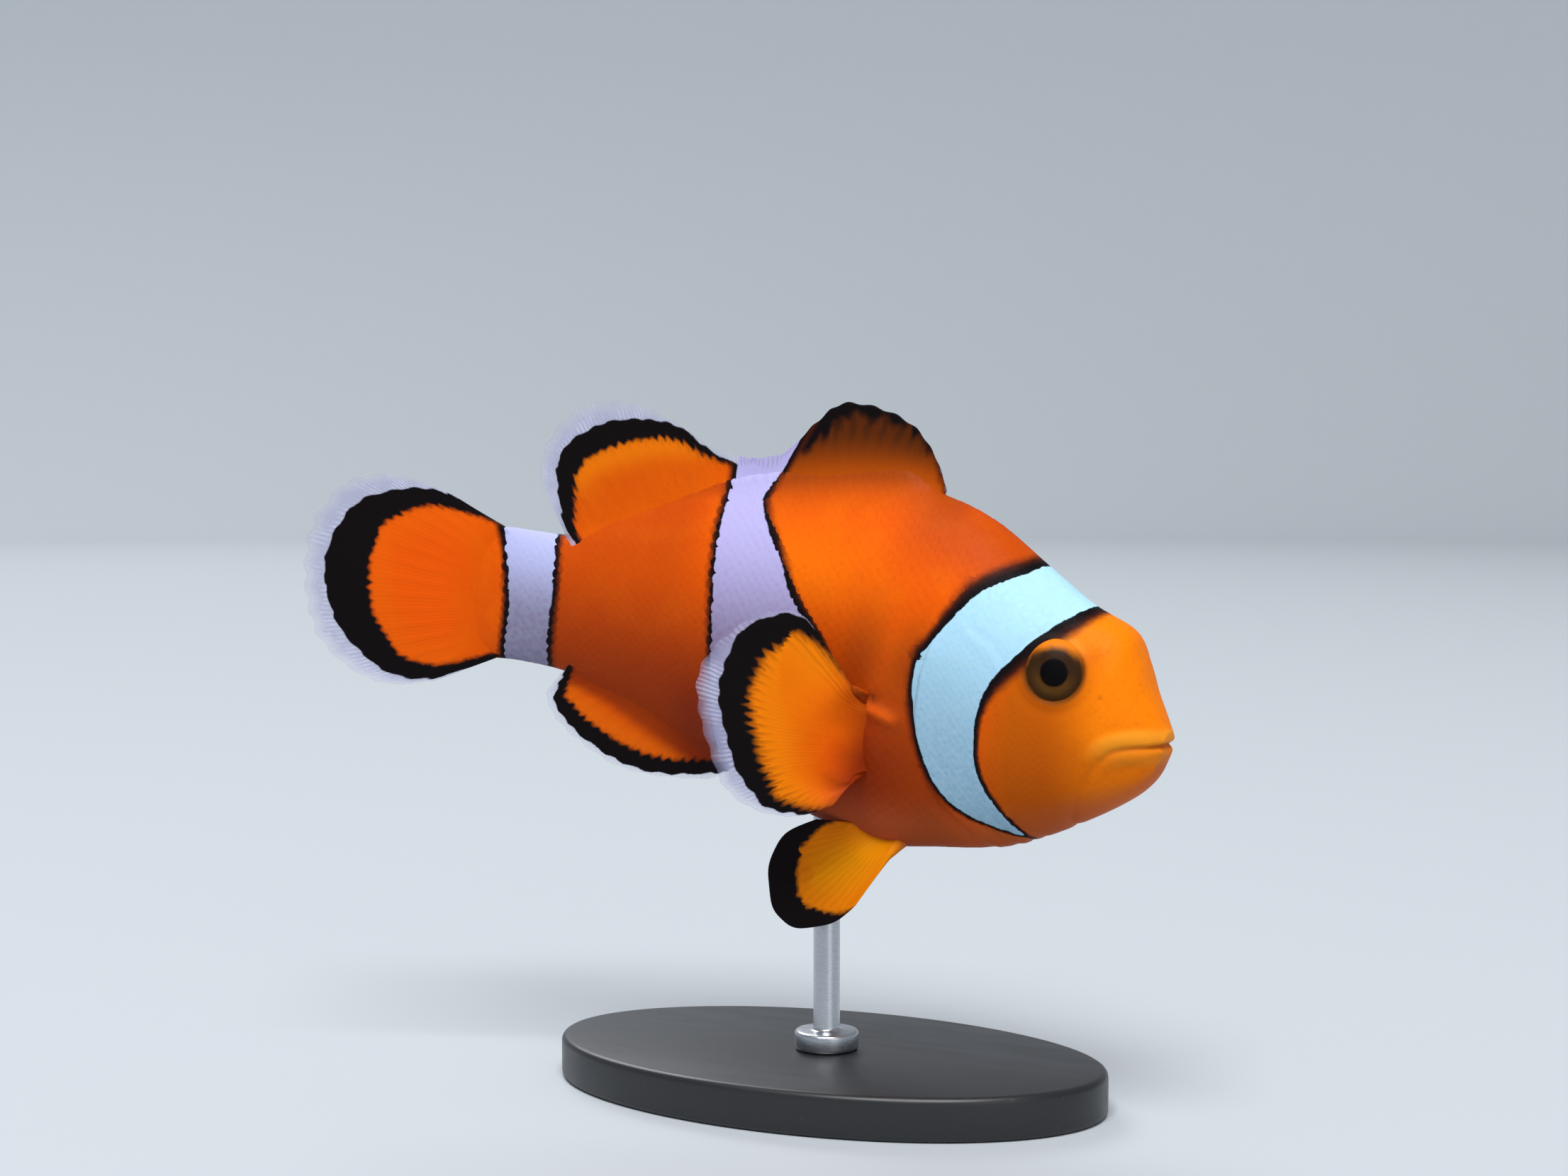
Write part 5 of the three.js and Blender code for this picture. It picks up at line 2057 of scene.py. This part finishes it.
@dataclass
class FinSet:
    """All eight fins and their finishes."""

    pose: SwimPose
    markings: Markings

    def paired(self, side: Side) -> tuple[FinShape, FinShape]:
        """The pectoral and the pelvic fin of one side."""
        label = side.name.lower()
        pectoral = FinShape(
            name=f"pectoral_web_{label}", node=f"pectoral_fin_{label}", rays=16, notch=0.015,
            base=PECTORAL_BASE, margin=PECTORAL_MARGIN, ink=PECTORAL_INK, sway_from=22.5,
            sway=math.tan(math.radians(22)), root_breadth=7.05, tuck=2.3, root_fall=1.3, ripple=0.2,
            side=side, inked_side=-1.0, deepen=0.08, root_thickness=1.5, fleshy=0.5, flare=0.3,
            ridge=0.04, end_thickness=0.3,
        )
        right = side is Side.RIGHT
        pelvic = FinShape(
            name=f"pelvic_web_{label}", node=f"pelvic_fin_{label}", rays=6, notch=0.008, tooth=0.14,
            base=PELVIC_BASE, margin=PELVIC_OPEN if right else PELVIC_FOLDED,
            ink=PELVIC_OPEN_INK if right else PELVIC_FOLDED_INK, root_breadth=3.0,
            spread=(1.0, 2.2), side=side, deepen=0.06, root_thickness=1.0, fleshy=0.6, flare=0.3,
            tuck=1.3, end_thickness=0.4,
        )
        return pectoral, pelvic

    def finishes(self) -> dict[str, Material]:
        """One material for each kind of fin, by the start of the fin's name."""
        made = (
            FinFinish(
                "spiny", colour(112, 48, 5), 1.0, soft=0.6, smoke=5.5, by_ink=2.8, smoke_share=0.85,
                smoke_tone=colour(58, 28, 10), haze=0.7, streaks=1.5, clean=4.0,
            ),
            FinFinish("soft", colour(210, 84, 2), web_start=4.5, web_end=8.0, outer_share=0.7),
            FinFinish("anal", colour(216, 76, 4), web_start=2.6, web_end=4.6, outer_share=0.35),
            FinFinish("caudal", colour(230, 84, 4), web_start=1.0, web_end=6.0, outer_share=0.15),
            FinFinish(
                "pectoral", colour(232, 112, 2), soft=0.5, smoke=2.0, smoke_share=0.7,
                web_start=2.4, web_end=7.0, clear_alpha=0.42, smoke_tone=colour(70, 26, 6),
                outer_share=0.45, outer=colour(242, 134, 6),
            ),
            FinFinish(
                "pelvic", colour(230, 140, 2), 3.0, smoke_share=0.15, veins=0.1, web_start=0.2,
                web_end=2.0, outer=colour(208, 98, 6), outer_share=0.6,
            ),
        )
        return {finish.name: finish.material() for finish in made}

    def assemble(self) -> None:
        """Builds and dresses every fin."""
        finishes = self.finishes()
        pairs = (*self.paired(Side.RIGHT), *self.paired(Side.LEFT))
        for shape in (SPINY_DORSAL, SOFT_DORSAL, ANAL, CAUDAL, *pairs):
            fin = Fin(shape, self.pose, self.markings)
            fin.dress(fin.build(), finishes[shape.name.split("_")[0]])


@dataclass
class DisplayStand:
    """A flat oval base and a slim rod with a collar, at the sizes of the CAD stand."""

    bevel: float = 0.6 * MM
    rod_radius: float = 1.25 * MM
    collar_radius: float = 3.0 * MM
    collar_height: float = 1.8 * MM
    collar_bevel: float = 0.35 * MM
    collar_corner: float = math.radians(50)

    def base(self) -> Piece:
        """An oval plate with rounded edges."""
        low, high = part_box("stand_base")
        size, middle = high - low, (high + low) / 2
        piece = added(
            bpy.ops.mesh.primitive_cylinder_add, "base_plate", vertices=160, radius=0.5, depth=1.0,
            end_fill_type="NGON",
        )
        put_points(piece, points_of(piece) * np.array(size) + np.array(middle))
        return rounded(piece, 40, width=self.bevel, segments=4)

    def rod(self) -> Piece:
        """A turned rod whose foot is a chamfered collar."""
        low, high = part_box("stand_rod")
        foot = low.z
        piece = added(
            bpy.ops.mesh.primitive_cylinder_add, "support_rod", vertices=64,
            radius=self.collar_radius, depth=self.collar_height, end_fill_type="NGON",
            location=(0, 0, foot + self.collar_height / 2),
        )
        put_points(piece, points_of(piece) + np.array(piece.location))
        piece.location = (0, 0, 0)
        top = next(p.index for p in piece.data.polygons if p.normal.z > 0.9)
        with editing(piece, "DESELECT"):
            pass
        piece.data.polygons[top].select = True
        with editing(piece, "KEEP"):
            bpy.ops.mesh.inset(thickness=self.collar_radius - self.rod_radius, depth=0)
            rise = high.z - foot - self.collar_height
            bpy.ops.mesh.extrude_region_move(TRANSFORM_OT_translate={"value": (0, 0, rise)})
        return rounded(
            piece, 35, width=self.collar_bevel, segments=3, angle_limit=self.collar_corner
        )

    def assemble(self, acrylic: Material, steel: Material) -> None:
        """Builds and dresses the stand."""
        dressed(self.base(), acrylic, "base", "stand_base")
        dressed(self.rod(), steel, "rod", "stand_rod")


@dataclass(frozen=True)
class Lamp:
    """A square soft light: where it is, how wide, how strong and what tint."""

    name: str
    place: Triple
    width: float
    power: float
    tint: Colour


@dataclass
class Studio:
    """A pale round floor that curves up into a wall, soft lights and the camera."""

    aim: Triple = (-0.003619, -0.001688, 0.04716)
    azimuth: float = math.radians(25)
    elevation: float = math.radians(3)
    distance: float = 0.23
    field_width: float = 0.145474
    radius: float = 1.6
    sweep_rise: float = 0.08
    sweep_growth: float = 0.045
    surround: Colour = (0.8, 0.83, 0.9)
    surround_strength: float = 0.36
    sensor_width: float = 36.0
    clip: Pair = (0.01, 20.0)
    lamps: tuple[Lamp, ...] = (
        Lamp("key", (0.3, -0.85, 1.65), 1.0, 38.0, (0.97, 0.99, 1.0)),
        Lamp("fill", (1.4, -1.1, 0.6), 1.0, 3.0, (1.0, 0.97, 0.94)),
        Lamp("back", (-1.1, 1.0, 1.3), 0.9, 14.0, (0.94, 0.97, 1.0)),
    )

    def floor(self) -> None:
        """A disc whose rim is swept up into a wall."""
        piece = added(
            bpy.ops.mesh.primitive_circle_add, "floor",
            vertices=96, radius=self.radius, fill_type="NGON",
        )
        with editing(piece, "SELECT"):
            for angle in range(10, 91, 10):
                sweep = math.radians(angle)
                rise = self.sweep_rise * math.sin(sweep)
                bpy.ops.mesh.extrude_region_move(TRANSFORM_OT_translate={"value": (0, 0, rise)})
                grow = 1 + self.sweep_growth * math.cos(sweep)
                bpy.ops.transform.resize(value=(grow, grow, 1))
            bpy.ops.mesh.delete(type="ONLY_FACE")
        piece.data.materials.append(FloorFinish().material())
        bpy.ops.object.shade_smooth()

    def lights(self) -> None:
        """The lamps and an even pale surround."""
        for lamp in self.lamps:
            bpy.ops.object.light_add(type="AREA", location=lamp.place)
            made = bpy.context.active_object
            made.name = lamp.name
            made.data.size = lamp.width
            made.data.energy = lamp.power
            made.data.color = lamp.tint
            away = Vector(lamp.place) - Vector(self.aim)
            made.rotation_euler = away.to_track_quat("Z", "Y").to_euler()
        world = bpy.data.worlds.new("surround")
        world.use_nodes = True
        sky = world.node_tree.nodes["Background"].inputs
        sky["Color"].default_value = (*self.surround, 1)
        sky["Strength"].default_value = self.surround_strength
        bpy.context.scene.world = world

    def camera(self) -> None:
        """The camera, level with the fish and a little ahead of it, and plain colours."""
        bpy.context.scene.view_settings.view_transform = "Standard"
        a, e = self.azimuth, self.elevation
        away = Vector((math.sin(a) * math.cos(e), -math.cos(a) * math.cos(e), math.sin(e)))
        bpy.ops.object.camera_add(location=Vector(self.aim) + away * self.distance)
        made = bpy.context.active_object
        made.name = "camera"
        made.rotation_euler = away.to_track_quat("Z", "Y").to_euler()
        made.data.sensor_width = self.sensor_width
        made.data.lens = self.sensor_width * self.distance / self.field_width
        made.data.clip_start, made.data.clip_end = self.clip
        bpy.context.scene.camera = made

    def assemble(self) -> None:
        """Sets up floor, lights and camera."""
        self.floor()
        self.lights()
        self.camera()


def main() -> None:
    """Builds the fish, its stand and the studio."""
    logging.basicConfig(level=logging.INFO, format="%(name)s: %(message)s")
    hide = Hide()
    skin = Skin(hide)
    skin.dress(skin.build(), HideFinish("hide").material())
    scale_material = HideFinish("scale").material()
    for side in Side:
        coat = ScaleCoat(hide, side)
        coat.dress(coat.build(), scale_material)
    EyePair(hide.pose).assemble(IrisFinish().material(), CorneaFinish().material())
    FinSet(hide.pose, hide.markings).assemble()
    DisplayStand().assemble(AcrylicFinish().material(), SteelFinish().material())
    Studio().assemble()


if __name__ == "__main__":
    main()
